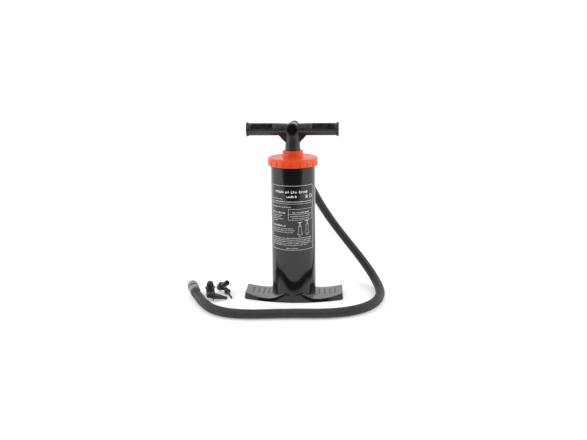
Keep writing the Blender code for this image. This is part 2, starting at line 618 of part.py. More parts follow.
# ---------------------------------------------------------------- handle
def make_handle(stroke):
    """The hub with its two ports, the neck, the spigot inside the rod, the gussets and the two grips."""
    grey = material("dark_grey_pp_handle", (0.045, 0.045, 0.048), 0.45)
    reach = HUB_HALF_LENGTH
    hub = turned("handle_hub", [
        (0, -reach), (HUB_R - 0.0008, -reach), (HUB_R, -reach + 0.0008), (HUB_R, reach - 0.0008),
        (HUB_R - 0.0008, reach), (0, reach)], ROUND, grey, stroke)
    stand_along(hub, (0, 0, PORT_Z), (0, 1, 0))
    sides = add(hub, "hub_sides", turned_shape([
        (0, -HUB_SIDE_X), (GRIP_ROOT_R, -HUB_SIDE_X), (GRIP_ROOT_R, HUB_SIDE_X), (0, HUB_SIDE_X)], ROUND))
    stand_along(sides, (0, 0, PORT_Z), (1, 0, 0))
    spigot_r = ROD_BORE_R - TOUCH_GAP
    foot = NECK_FOOT_Z - SPIGOT_LENGTH
    add(hub, "neck", turned_shape([
        (0, foot), (spigot_r, foot), (spigot_r, NECK_FOOT_Z), (ROD_R, NECK_FOOT_Z),
        (NECK_TOP_R, GUSSET_Z + 0.006), (NECK_TOP_R - 0.0002, PORT_Z), (0, PORT_Z)], ROUND))
    near = PORT_Z - GRIP_ROOT_R - 2 * TOUCH_GAP
    far = PORT_Z - GRIP_R - TOUCH_GAP
    edge = 0.0012
    inside = 0.010
    root = NECK_TOP_R + 0.001
    thick = 0.5 * GUSSET_THICKNESS
    add(hub, "gussets", prism_shape([
        (-inside, GUSSET_Z), (inside, GUSSET_Z), (root, GUSSET_Z), (GUSSET_X, far - edge), (GUSSET_X, far),
        (HUB_SIDE_X, near), (inside, near), (inside, PORT_Z), (-inside, PORT_Z), (-inside, near),
        (-HUB_SIDE_X, near), (-GUSSET_X, far), (-GUSSET_X, far - edge), (-root, GUSSET_Z)], -thick, thick))
    channel = spigot_r - SPIGOT_WALL
    cut(hub, "neck_channel", turned_shape([
        (0, foot - 0.01), (channel, foot - 0.01), (channel, PORT_Z + 0.0095), (0, PORT_Z + 0.0095)], ROUND))
    bore = cut(hub, "port_bore", turned_shape([
        (0, -0.05), (PORT_R, -0.05), (PORT_R, 0.05), (0, 0.05)], ROUND))
    stand_along(bore, (0, 0, PORT_Z), (0, 1, 0))

    start = HUB_SIDE_X + TOUCH_GAP
    end = GRIP_HALF_LENGTH
    profile = [
        (0, start), (GRIP_ROOT_R, start), (GRIP_R, 0.35 * end), (GRIP_R, end - 0.0065),
        (GRIP_FLANGE_R, end - 0.0015), (GRIP_FLANGE_R - 0.0006, end), (0, end)]
    for side, sign in (("left", -1), ("right", 1)):
        grip = turned(f"grip_{side}", profile, ROUND, grey, stroke)
        stand_along(grip, (0, 0, PORT_Z), (sign, 0, 0))


# ---------------------------------------------------------------- hose and what is on it
def make_hose(floor_body, stroke):
    black = material("black_pe_hose", (0.024, 0.024, 0.025), 0.5)
    plug_start = HUB_HALF_LENGTH - CUFF_PLUG_LENGTH
    flange = HUB_HALF_LENGTH + TOUCH_GAP
    cuff = turned("hose_cuff", [
        (AIR_BORE_R, plug_start), (PORT_R - 0.0012, plug_start), (PORT_R - TOUCH_GAP, plug_start + 0.003),
        (PORT_R - TOUCH_GAP, flange), (CUFF_FLANGE_R, flange), (CUFF_FLANGE_R, flange + CUFF_FLANGE),
        (CUFF_R, flange + CUFF_FLANGE), (CUFF_R - 0.0008, CUFF_END_Y), (AIR_BORE_R, CUFF_END_Y)],
        ROUND, black, stroke)
    stand_along(cuff, (0, 0, PORT_Z), (0, 1, 0))
    tube_along("hose", smooth_route(millimetres(HOSE_ROUTE_MM), 0.022), HOSE_R, 3, black, floor_body)


def make_hose_end(floor_body):
    """Sleeve, ring and collar in line with the hose's end, each on the one before it."""
    light = material("light_grey_abs", (0.50, 0.50, 0.51), 0.4)
    rubber = material("black_nbr", (0.02, 0.02, 0.02), 0.6)
    start = TOUCH_GAP
    sleeve_end = start + SLEEVE_LENGTH
    ring_start = sleeve_end + TOUCH_GAP
    collar_start = ring_start + END_RING_WIDTH + TOUCH_GAP
    collar_end = collar_start + END_COLLAR_LENGTH
    spigot_end = sleeve_end + END_SPIGOT_LENGTH
    sleeve = turned("hose_end_sleeve", [
        (AIR_BORE_R, start), (SLEEVE_R - 0.0008, start), (SLEEVE_R, start + 0.0012), (SLEEVE_R, sleeve_end),
        (SPIGOT_R, sleeve_end), (SPIGOT_R, spigot_end), (AIR_BORE_R, spigot_end)], ROUND, light, floor_body)
    ring = turned("hose_end_ring", tube_profile(
        SPIGOT_R + TOUCH_GAP, END_RING_R, ring_start, ring_start + END_RING_WIDTH), ROUND, rubber, floor_body)
    collar = turned("hose_end_collar", [
        (SPIGOT_R + TOUCH_GAP, collar_start), (END_COLLAR_R, collar_start), (END_COLLAR_R, collar_end - END_CHAMFER),
        (END_COLLAR_R - END_CHAMFER, collar_end), (AIR_BORE_R, collar_end), (AIR_BORE_R, spigot_end + 0.001),
        (SPIGOT_R + TOUCH_GAP, spigot_end + 0.001)], ROUND, light, floor_body)
    before, tip = millimetres(HOSE_ROUTE_MM[-2:])
    for piece in (sleeve, ring, collar):
        stand_along(piece, tip, tip - before)


def lying(low_r, high_r, length, heading):
    """Direction of a tapered piece that lies on the floor on two rims, towards a heading in the plane."""
    drop = (low_r - high_r) / length
    flat = Vector((heading[0], heading[1], 0)).normalized()
    return Vector((flat.x, flat.y, -drop)).normalized()


def make_nozzles(floor_body):
    """Four push-in nozzles that lie together beside the hose's end, each with an air bore."""
    black = material("black_pe_nozzle", (0.02, 0.02, 0.021), 0.3)
    bore = 0.0018
    dome = turned("nozzle_dome", [
        (0.0045, 0.0004), (0.0100, 0.0004), (0.0100, 0.0024), (0.0092, 0.0030), (0.0098, 0.0176),
        (0.0116, 0.0182), (0.0116, 0.0202), (0.0078, 0.0208), (0.0076, 0.0275), (0.0064, 0.0312),
        (0.0040, 0.0332), (bore, 0.0338), (bore, 0.0304), (0.0045, 0.0274)], SMALL, black, floor_body)
    dome.location = (-0.186, -0.008, 0)

    cone_flange, cone_tip = 0.0096, 0.0030
    cone = turned("nozzle_cone", [
        (bore, -0.0150), (0.0062, -0.0150), (0.0068, -0.0140), (0.0068, -0.0015), (cone_flange, -0.0012),
        (cone_flange, 0.0008), (0.0066, 0.0012), (cone_tip, 0.0280), (0.0024, 0.0290), (bore, 0.0290)],
        SMALL, black, floor_body)
    way = lying(cone_flange, cone_tip, 0.029, (0.988, 0.156))
    stand_along(cone, (-0.1726, -0.0371, cone_flange + 0.0004), way)

    thin_flange, thin_tip = 0.0074, 0.0020
    needle = turned("nozzle_needle", [
        (0.0010, -0.0120), (0.0050, -0.0120), (0.0054, -0.0110), (0.0054, -0.0014), (thin_flange, -0.0010),
        (thin_flange, 0.0008), (0.0038, 0.0014), (0.0027, 0.0120), (thin_tip, 0.0270), (0.0010, 0.0280)],
        SMALL, black, floor_body)
    way = lying(thin_flange, thin_tip, 0.028, (0.472, -0.882))
    stand_along(needle, (-0.1483, -0.0048, thin_flange + 0.0004), way)

    wide = turned("nozzle_wide", [
        (bore, -0.0120), (0.0074, -0.0120), (0.0078, -0.0110), (0.0078, -0.0014), (0.0098, -0.0010),
        (0.0098, 0.0010), (0.0064, 0.0016), (0.0058, 0.0150), (0.0058, 0.0235), (0.0048, 0.0245), (bore, 0.0245)],
        SMALL, black, floor_body)
    stand_along(wide, (-0.1637, 0.0144, 0.0140), (0.63, -0.55, 0.548))


def make_tether(floor_body):
    """The string that keeps the nozzles with the hose: a loop round the hose, a free run and a knot."""
    twine = material("grey_twine", (0.35, 0.35, 0.35), 0.8)
    inner = HOSE_R + TOUCH_GAP
    loop = turned("tether_loop", tube_profile(inner, inner + 2 * TWINE_R, -TWINE_R, TWINE_R),
                  SMALL, twine, floor_body)
    here, there = millimetres(HOSE_ROUTE_MM[-2:])
    stand_along(loop, 0.55 * here + 0.45 * there, there - here)
    line = smooth_route(millimetres(TWINE_ROUTE_MM), 0.004)
    tube_along("tether", line, TWINE_R, 2, twine, floor_body)
    radius = 2.4 * TWINE_R
    knot = bmesh.new()
    bmesh.ops.create_icosphere(knot, subdivisions=1, radius=radius)
    ball = add_object("tether_knot", knot, twine, floor_body)
    ball.location = line[-1] + (radius + TOUCH_GAP) * (line[-1] - line[-2]).normalized()
    ball.location.z = radius + TOUCH_GAP


def main():
    clear_scene()
    root = empty("barrel_body")
    lifting = empty("cap_lift", root)
    turning = empty("cap_turn", lifting)
    swivel = empty("handle_swivel", root)
    stroke = empty("pump_stroke", swivel)
    make_barrel(root)
    make_cap(turning)
    make_rod_guide(lifting)
    make_rod(stroke)
    make_piston(stroke)
    make_valves(stroke)
    make_handle(stroke)
    make_hose(swivel, stroke)
    make_hose_end(swivel)
    make_nozzles(swivel)
    make_tether(swivel)


main()
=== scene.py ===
import bisect
import math
import random

import bmesh
import bpy
from mathutils import Matrix, Vector


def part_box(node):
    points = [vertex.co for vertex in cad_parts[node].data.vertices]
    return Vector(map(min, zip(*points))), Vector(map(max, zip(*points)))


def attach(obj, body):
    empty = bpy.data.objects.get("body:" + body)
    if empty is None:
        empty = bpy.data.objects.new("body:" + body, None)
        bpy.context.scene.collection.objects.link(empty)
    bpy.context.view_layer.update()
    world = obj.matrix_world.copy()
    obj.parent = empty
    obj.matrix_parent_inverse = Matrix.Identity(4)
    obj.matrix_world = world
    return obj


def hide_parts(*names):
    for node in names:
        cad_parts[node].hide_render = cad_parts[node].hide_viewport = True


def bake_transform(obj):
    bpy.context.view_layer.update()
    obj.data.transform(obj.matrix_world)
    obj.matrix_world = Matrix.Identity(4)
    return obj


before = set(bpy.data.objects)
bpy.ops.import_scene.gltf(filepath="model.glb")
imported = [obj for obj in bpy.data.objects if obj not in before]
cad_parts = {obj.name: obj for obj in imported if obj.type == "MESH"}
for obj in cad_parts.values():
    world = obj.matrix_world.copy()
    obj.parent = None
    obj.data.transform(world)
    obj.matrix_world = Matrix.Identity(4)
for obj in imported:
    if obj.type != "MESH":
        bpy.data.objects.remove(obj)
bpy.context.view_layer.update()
print("frame loaded:", len(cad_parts), "nodes")

# sizes are in metres and angles in degrees
camera = {"azimuth": 3.5, "distance": 1.377, "height": 0.528, "pitch": 14.5, "roll": -0.6, "lens": 40.5}


def makeCamera():
    lens = bpy.data.cameras.new("studioCamera")
    lens.sensor_width = 36
    lens.lens = camera["lens"]
    made = bpy.data.objects.new("studioCamera", lens)
    turn = math.radians(camera["azimuth"])
    tilt = Matrix.Rotation(math.radians(90 - camera["pitch"]), 3, "X")
    roll = Matrix.Rotation(math.radians(camera["roll"]), 3, "Z")
    made.rotation_euler = (Matrix.Rotation(turn, 3, "Z") @ tilt @ roll).to_euler()
    across = camera["distance"]
    made.location = (across * math.sin(turn), -across * math.cos(turn), camera["height"])
    bpy.context.scene.collection.objects.link(made)
    bpy.context.scene.camera = made
    bpy.context.scene.view_settings.view_transform = "Standard"


makeCamera()


# materials
def linearColour(code):
    channels = [int(code[i:i + 2], 16) / 255 for i in (0, 2, 4)]
    return [c / 12.92 if c <= 0.04045 else ((c + 0.055) / 1.055) ** 2.4 for c in channels] + [1.0]


def addNode(tree, kind, settings=None, links=None):
    # a setting is a property of the node if it has one of that name, and one of its sockets if not
    node = tree.nodes.new(kind)
    for name, value in (settings or {}).items():
        if isinstance(name, str) and hasattr(node, name):
            setattr(node, name, value)
        else:
            node.inputs[name].default_value = value
    for name, source in (links or {}).items():
        tree.links.new(source, node.inputs[name])
    return node


def newMaterial(name):
    made = bpy.data.materials.new(name)
    made.use_nodes = True
    return made, made.node_tree, made.node_tree.nodes["Principled BSDF"]


def moulded(name, look):
    # two close colours in soft patches, a roughness that wanders, a fine grain and a slow waviness
    made, tree, shader = newMaterial(name)
    place = addNode(tree, "ShaderNodeTexCoord").outputs["Object"]

    def cloud(size, detail=3.0):
        return addNode(tree, "ShaderNodeTexNoise", {"Scale": 1 / size, "Detail": detail}, {"Vector": place}).outputs[0]

    colour = addNode(tree, "ShaderNodeMix", {
        "data_type": "RGBA", 6: linearColour(look["dark"]), 7: linearColour(look["light"])},
        {0: cloud(look["patch"])}).outputs[2]
    roughness = addNode(tree, "ShaderNodeMapRange", {
        "From Min": 0.3, "From Max": 0.7, "To Min": look["smooth"], "To Max": look["rough"]},
        {"Value": cloud(look["smudge"], 5.0)}).outputs[0]
    wave = addNode(tree, "ShaderNodeBump", {"Strength": 1.0, "Distance": look["waveDepth"]},
                   {"Height": cloud(look["wave"], 1.0)}).outputs[0]
    grain = addNode(tree, "ShaderNodeBump", {"Strength": 1.0, "Distance": look["grainDepth"]},
                    {"Height": cloud(look["grain"], 2.0), "Normal": wave}).outputs[0]
    tree.links.new(roughness, shader.inputs["Roughness"])
    tree.links.new(grain, shader.inputs["Normal"])
    if "worn" in look:
        # the attribute says how far a point stands out, and what stands out is rubbed paler
        crest = addNode(tree, "ShaderNodeAttribute", {"attribute_name": "crest"}).outputs["Fac"]
        rubbed = addNode(tree, "ShaderNodeMath", {"operation": "MULTIPLY"}, {0: crest, 1: cloud(look["smudge"])}).outputs[0]
        colour = addNode(tree, "ShaderNodeMix", {"data_type": "RGBA", 7: linearColour(look["worn"])},
                         {0: rubbed, 6: colour}).outputs[2]
    tree.links.new(colour, shader.inputs["Base Color"])
    for socket, value in look.get("shader", {}).items():
        shader.inputs[socket].default_value = value
    return made


# ABS moulded in a polished tool: near-black and mirror-like, with the faint waves that the melt leaves
blackAbs = moulded("polishedBlackAbs", {
    "dark": "0b0b0c", "light": "151517", "patch": 0.060, "smooth": 0.07, "rough": 0.15, "smudge": 0.022,
    "wave": 0.018, "waveDepth": 0.00003, "grain": 0.0012, "grainDepth": 0.000002,
    "shader": {"IOR": 1.53}})
# polypropylene with an orange masterbatch: satin, a little light goes into it
orangePp = moulded("satinOrangePolypropylene", {
    "dark": "e04410", "light": "ee5418", "patch": 0.025, "smooth": 0.30, "rough": 0.40, "smudge": 0.010,
    "wave": 0.012, "waveDepth": 0.00003, "grain": 0.0008, "grainDepth": 0.000006,
    "shader": {"IOR": 1.49, "Subsurface Weight": 0.12, "Subsurface Radius": (1.0, 0.35, 0.1),
               "Subsurface Scale": 0.002}})
# glass-filled nylon of the T handle: charcoal, spark-eroded fine grain, satin on the parts a hand rubs
handleNylon = moulded("grainedCharcoalNylon", {
    "dark": "1b1b1d", "light": "29292b", "patch": 0.012, "smooth": 0.24, "rough": 0.40, "smudge": 0.006,
    "wave": 0.009, "waveDepth": 0.00003, "grain": 0.0007, "grainDepth": 0.000005,
    "shader": {"IOR": 1.53}})
# extruded polypropylene tube of the rod: dark grey, smooth, with a gloss that is clearer than the handle's
rodPp = moulded("smoothGreyPolypropylene", {
    "dark": "242426", "light": "303032", "patch": 0.030, "smooth": 0.16, "rough": 0.27, "smudge": 0.008,
    "wave": 0.030, "waveDepth": 0.00003, "grain": 0.0010, "grainDepth": 0.000003,
    "shader": {"IOR": 1.49}})
# blown polyethylene hose: waxy black, paler where the ribs' crests have rubbed
hosePe = moulded("waxyBlackPolyethylene", {
    "dark": "0f0f10", "light": "19191a", "patch": 0.030, "smooth": 0.34, "rough": 0.48, "smudge": 0.005,
    "wave": 0.010, "waveDepth": 0.00003, "grain": 0.0008, "grainDepth": 0.000006, "worn": "343437",
    "shader": {"IOR": 1.51}})
# light grey ABS of the hose's end: satin, a trace of yellow in the patches
greyAbs = moulded("satinLightGreyAbs", {
    "dark": "7c7c80", "light": "8e8e92", "patch": 0.010, "smooth": 0.26, "rough": 0.38, "smudge": 0.005,
    "wave": 0.008, "waveDepth": 0.00002, "grain": 0.0006, "grainDepth": 0.000005,
    "shader": {"IOR": 1.53, "Subsurface Weight": 0.08, "Subsurface Scale": 0.001}})
# soft polyethylene nozzles: black with a greasy gloss
nozzlePe = moulded("greasyBlackPolyethylene", {
    "dark": "161617", "light": "222224", "patch": 0.008, "smooth": 0.17, "rough": 0.32, "smudge": 0.004,
    "wave": 0.006, "waveDepth": 0.00003, "grain": 0.0006, "grainDepth": 0.000006,
    "shader": {"IOR": 1.51}})
# grey ABS of the piston inside: plain tool finish
pistonAbs = moulded("toolFinishGreyAbs", {
    "dark": "6a6a6d", "light": "7b7b7e", "patch": 0.015, "smooth": 0.34, "rough": 0.48, "smudge": 0.006,
    "wave": 0.010, "waveDepth": 0.00003, "grain": 0.0007, "grainDepth": 0.00001,
    "shader": {"IOR": 1.53}})
# acetal guide bush: milky white, hard and slick
whitePom = moulded("milkyWhiteAcetal", {
    "dark": "d9d9d4", "light": "e6e6e1", "patch": 0.008, "smooth": 0.22, "rough": 0.32, "smudge": 0.004,
    "wave": 0.008, "waveDepth": 0.00002, "grain": 0.0007, "grainDepth": 0.000004,
    "shader": {"IOR": 1.48, "Subsurface Weight": 0.15, "Subsurface Scale": 0.001}})
# nitrile rubber rings: dull black with a bloom that greys it in patches
blackNbr = moulded("dullBlackNitrile", {
    "dark": "121213", "light": "232324", "patch": 0.004, "smooth": 0.50, "rough": 0.68, "smudge": 0.003,
    "wave": 0.005, "waveDepth": 0.00003, "grain": 0.0005, "grainDepth": 0.00001,
    "shader": {"IOR": 1.52}})
# silicone valve discs: brick red and soft, light scatters in them
redSilicone = moulded("softRedSilicone", {
    "dark": "8f2317", "light": "a22c1d", "patch": 0.005, "smooth": 0.42, "rough": 0.55, "smudge": 0.004,
    "wave": 0.006, "waveDepth": 0.00002, "grain": 0.0005, "grainDepth": 0.000005,
    "shader": {"IOR": 1.41, "Subsurface Weight": 0.2, "Subsurface Scale": 0.001}})
# zinc-plated steel screws: bluish grey metal, crystalline mottling from the plating bath
zincSteel = moulded("mottledZincPlate", {
    "dark": "a2a6ab", "light": "c3c6ca", "patch": 0.0015, "smooth": 0.26, "rough": 0.42, "smudge": 0.0012,
    "wave": 0.003, "waveDepth": 0.00001, "grain": 0.0004, "grainDepth": 0.000003,
    "shader": {"Metallic": 1.0}})
# screen-printed ink: matt white, thin enough that the black shows through in specks
whiteInk = moulded("thinWhiteScreenInk", {
    "dark": "b4b4b6", "light": "f0f0f0", "patch": 0.0007, "smooth": 0.45, "rough": 0.60, "smudge": 0.002,
    "wave": 0.004, "waveDepth": 0.00001, "grain": 0.0004, "grainDepth": 0.000004,
    "shader": {"IOR": 1.47}})
# polyester string: grey twisted filaments with a dry sheen, strands drawn by the mesh
greyString = moulded("twistedPolyesterString", {
    "dark": "7d7d7f", "light": "a8a8aa", "patch": 0.0012, "smooth": 0.62, "rough": 0.80, "smudge": 0.001,
    "wave": 0.002, "waveDepth": 0.00003, "grain": 0.0003, "grainDepth": 0.00002,
    "shader": {"IOR": 1.5, "Sheen Weight": 0.3, "Sheen Roughness": 0.5}})
print("materials made")


# mesh helpers
def addPiece(name, shape, finish, sharpAngle=32):
    bmesh.ops.remove_doubles(shape, verts=shape.verts, dist=1e-6)
    bmesh.ops.recalc_face_normals(shape, faces=shape.faces)
    mesh = bpy.data.meshes.new(name)
    shape.to_mesh(mesh)
    shape.free()
    mesh.materials.append(finish)
    mesh.shade_smooth()
    mesh.set_sharp_from_angle(angle=math.radians(sharpAngle))
    piece = bpy.data.objects.new(name, mesh)
    bpy.context.scene.collection.objects.link(piece)
    return piece


def settle(piece, body, slot, *nodes):
    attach(piece, body)
    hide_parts(*nodes)


def softCorners(points, arcSteps=4):
    # points are (radius, height, fillet): a fillet above 0 rounds that corner of the profile
    line = []
    for before, here, after in zip([None, *points], points, [*points[1:], None]):
        corner = Vector(here[:2])
        if not before or not after or not here[2]:
            line.append(tuple(corner))
            continue
        back = Vector(before[:2]) - corner
        ahead = Vector(after[:2]) - corner
        half = back.angle(ahead) / 2
        reach = min(here[2] / math.tan(half), 0.48 * back.length, 0.48 * ahead.length)
        radius = reach * math.tan(half)
        centre = corner + (back.normalized() + ahead.normalized()).normalized() * (radius / math.sin(half))
        first = corner + back.normalized() * reach - centre
        last = corner + ahead.normalized() * reach - centre
        for step in range(arcSteps + 1):
            line.append(tuple(centre + first.slerp(last, step / arcSteps) * radius))
    return line


def spun(profile, steps, closed=False):
    shape = bmesh.new()
    points = [shape.verts.new((radius, 0, height)) for radius, height in profile]
    loop = points + points[:1] if closed else points
    edges = [shape.edges.new(pair) for pair in zip(loop, loop[1:])]
    bmesh.ops.spin(shape, geom=points + edges, cent=(0, 0, 0), axis=(0, 0, 1), angle=math.tau, steps=steps,
                   use_merge=True)
    bmesh.ops.remove_doubles(shape, verts=shape.verts, dist=1e-6)
    return shape


def standAlong(shape, place, direction):
    turn = Vector(direction).to_track_quat("Z", "Y").to_matrix().to_4x4()
    bmesh.ops.transform(shape, matrix=Matrix.Translation(place) @ turn, verts=shape.verts)
    return shape


def softBox(low, high, soft=0.0):
    shape = bmesh.new()
    bmesh.ops.create_cube(shape, size=1.0)
    bmesh.ops.scale(shape, vec=Vector(high) - Vector(low), verts=shape.verts)
    bmesh.ops.translate(shape, vec=(Vector(high) + Vector(low)) / 2, verts=shape.verts)
    if soft:
        bmesh.ops.bevel(shape, geom=shape.edges, offset=soft, segments=2, profile=0.5, affect="EDGES", material=-1)
    return shape


def joinShapes(shapes):
    whole = bmesh.new()
    for shape in shapes:
        part = bpy.data.meshes.new("part")
        shape.to_mesh(part)
        shape.free()
        whole.from_mesh(part)
        bpy.data.meshes.remove(part)
    return whole


def applyModifiers(piece):
    graph = bpy.context.evaluated_depsgraph_get()
    mesh = bpy.data.meshes.new_from_object(piece.evaluated_get(graph))
    piece.modifiers.clear()
    piece.data = mesh


def combine(piece, shape, operation):
    tool = addPiece("tool", shape, piece.data.materials[0])
    change = piece.modifiers.new("combine", "BOOLEAN")
    change.operation = operation
    change.solver = "EXACT"
    change.object = tool
    applyModifiers(piece)
    bpy.data.objects.remove(tool)


def softenEdges(piece, width, segments, limit):
    change = piece.modifiers.new("soften", "BEVEL")
    change.width = width
    change.segments = segments
    change.limit_method = "ANGLE"
    change.angle_limit = math.radians(limit)
    change.use_clamp_overlap = True
    applyModifiers(piece)
    piece.data.set_sharp_from_angle(angle=math.radians(limit))


def threadRidge(root, crest, low, pitch, turns):
    shape = bmesh.new()
    section = [(root, -0.22 * pitch), (crest, -0.12 * pitch), (crest, 0.12 * pitch), (root, 0.22 * pitch)]
    ring = [shape.verts.new((radius, 0, low + rise)) for radius, rise in section]
    edges = [shape.edges.new(pair) for pair in zip(ring, ring[1:] + ring[:1])]
    steps = round(72 * turns)
    bmesh.ops.spin(shape, geom=ring + edges, cent=(0, 0, 0), axis=(0, 0, 1), dvec=(0, 0, pitch * turns / steps),
                   angle=math.tau * turns, steps=steps)
    bmesh.ops.holes_fill(shape, edges=shape.edges, sides=4)
    return shape


def smoothRoute(points, spacing):
    ends = [2 * points[0] - points[1], *points, 2 * points[-1] - points[-2]]
    line = [points[0].copy()]
    for before, start, end, after in zip(ends, ends[1:], ends[2:], ends[3:]):
        pieces = max(1, round((end - start).length / spacing))
        for piece in range(1, pieces + 1):
            t = piece / pieces
            line.append(0.5 * (2 * start + (end - before) * t
                               + (2 * before - 5 * start + 4 * end - after) * t * t
                               + (3 * start - before - 3 * end + after) * t * t * t))
    return line


def lengths(line):
    total = [0.0]
    for here, there in zip(line, line[1:]):
        total.append(total[-1] + (there - here).length)
    return total


def bendAlong(shape, line):
    # a straight shape along Z from 0 is laid on the line, and its X and Y are carried along without twist
    total = lengths(line)
    headings = [(there - here).normalized() for here, there in zip(line, line[1:])]
    side = headings[0].orthogonal().normalized()
    sides = []
    for heading in headings:
        side = (side - heading * side.dot(heading)).normalized()
        sides.append(side)
    for vert in shape.verts:
        along = min(max(vert.co.z, 0.0), total[-1])
        span = min(bisect.bisect_right(total, along), len(headings)) - 1
        share = (along - total[span]) / (total[span + 1] - total[span])
        after = min(span + 1, len(headings) - 1)
        before = max(span - 1, 0)
        if share > 0.5:
            heading = headings[span].lerp(headings[after], share - 0.5).normalized()
            across = sides[span].lerp(sides[after], share - 0.5).normalized()
        else:
            heading = headings[before].lerp(headings[span], share + 0.5).normalized()
            across = sides[before].lerp(sides[span], share + 0.5).normalized()
        up = heading.cross(across)
        vert.co = line[span].lerp(line[span + 1], share) + across * vert.co.x + up * vert.co.y
    return shape


# hose: from its cuff in the back port, down behind the barrel and round the front on the floor
portZ = 0.367
hose = {"crest": 0.0100, "root": 0.0088, "pitch": 0.0038, "sides": 24, "diameter": 0.020}
hoseRoute = [Vector(place) for place in (
    (0, 0.0583, 0.3670), (0, 0.080, 0.3665), (0, 0.106, 0.356), (0, 0.126, 0.334), (0, 0.138, 0.302),
    (0.012, 0.143, 0.261), (0.0325, 0.143, 0.217), (0.0565, 0.140, 0.174), (0.085, 0.134, 0.132),
    (0.1175, 0.122, 0.092), (0.149, 0.103, 0.056), (0.1725, 0.077, 0.029), (0.1845, 0.048, 0.015),
    (0.189, 0.014, 0.0104), (0.1865, -0.025, 0.0104), (0.1735, -0.064, 0.0104), (0.149, -0.095, 0.0104),
    (0.112, -0.117, 0.0104), (0.066, -0.127, 0.0104), (0.016, -0.129, 0.0104), (-0.034, -0.132, 0.0104),
    (-0.082, -0.136, 0.0104), (-0.127, -0.131, 0.0104), (-0.163, -0.111, 0.0104), (-0.189, -0.076, 0.0104),
    (-0.204, -0.046, 0.0104), (-0.2126, -0.0295, 0.0104), (-0.2172, -0.0195, 0.0132))]
hoseTip = hoseRoute[-1]
hoseHeading = (hoseRoute[-1] - hoseRoute[-2]).normalized()


def makeHose():
    line = smoothRoute(hoseRoute, 0.004)
    length = lengths(line)[-1]
    ribs = round(length / hose["pitch"])
    pitch = length / ribs
    profile = [(0, 0)]
    for rib in range(ribs):
        for radius, share in ((hose["root"], 0.0), (hose["root"], 0.26), (hose["crest"], 0.40), (hose["crest"], 0.86)):
            profile.append((radius, (rib + share) * pitch))
    profile += [(hose["root"], length), (0, length)]
    shape = spun(profile, hose["sides"])
    crest = shape.verts.layers.float.new("crest")
    for vert in shape.verts:
        out = math.hypot(vert.co.x, vert.co.y)
        vert[crest] = max(0.0, (out - hose["root"]) / (hose["crest"] - hose["root"]))
    bendAlong(shape, line)
    piece = addPiece("corrugatedHose", shape, hosePe, sharpAngle=75)
    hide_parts("hose")
    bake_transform(piece)
    print("hose:", ribs, "ribs,", round(length, 3), "m")
    return piece, line, length


cuff = {"start": 0.0105, "flange": 0.0193, "flangeEnd": 0.0228, "end": 0.058, "plug": 0.0102,
        "flangeRadius": 0.0135, "radius": 0.0125, "tip": 0.0117, "bore": 0.0072, "rings": 6}


def makeCuff():
    points = [(cuff["bore"], cuff["start"], 0), (cuff["plug"] - 0.0009, cuff["start"], 0),
              (cuff["plug"], cuff["start"] + 0.0025, 0.001), (cuff["plug"], cuff["flange"], 0),
              (cuff["flangeRadius"], cuff["flange"], 0.0007), (cuff["flangeRadius"], cuff["flangeEnd"], 0.0009),
              (cuff["radius"], cuff["flangeEnd"] + 0.0004, 0.0005)]
    first, last = cuff["flangeEnd"] + 0.007, cuff["end"] - 0.004
    spacing = (last - first) / cuff["rings"]
    taper = (cuff["radius"] - cuff["tip"]) / (cuff["end"] - cuff["flangeEnd"])
    # the grooves between the bend relief's rings get deeper towards the hose
    for ring in range(cuff["rings"]):
        low = first + ring * spacing
        outer = cuff["radius"] - taper * (low - cuff["flangeEnd"])
        groove = 0.0006 + 0.00015 * ring
        points += [(outer, low, 0.0003), (outer - groove, low + 0.0006, 0.0003),
                   (outer - groove, low + 0.0018, 0.0003), (outer, low + 0.0024, 0.0003)]
    points += [(cuff["tip"], cuff["end"], 0.0007), (cuff["bore"], cuff["end"], 0)]
    shape = spun(softCorners(points, 3), 72, closed=True)
    standAlong(shape, (0, 0, portZ), (0, 1, 0))
    piece = addPiece("hoseCuff", shape, hosePe)
    settle(piece, "rod_handle", "hose_pe", "hose_cuff")
    return piece


hoseEnd = {"bore": 0.0070, "sleeve": 0.0118, "sleeveEnd": 0.0138, "spigot": 0.0095, "spigotEnd": 0.0228,
           "ring": 0.0126, "ringStart": 0.0141, "ringEnd": 0.0163, "collar": 0.0114, "collarStart": 0.0166,
           "collarEnd": 0.0306, "gap": 0.0003}


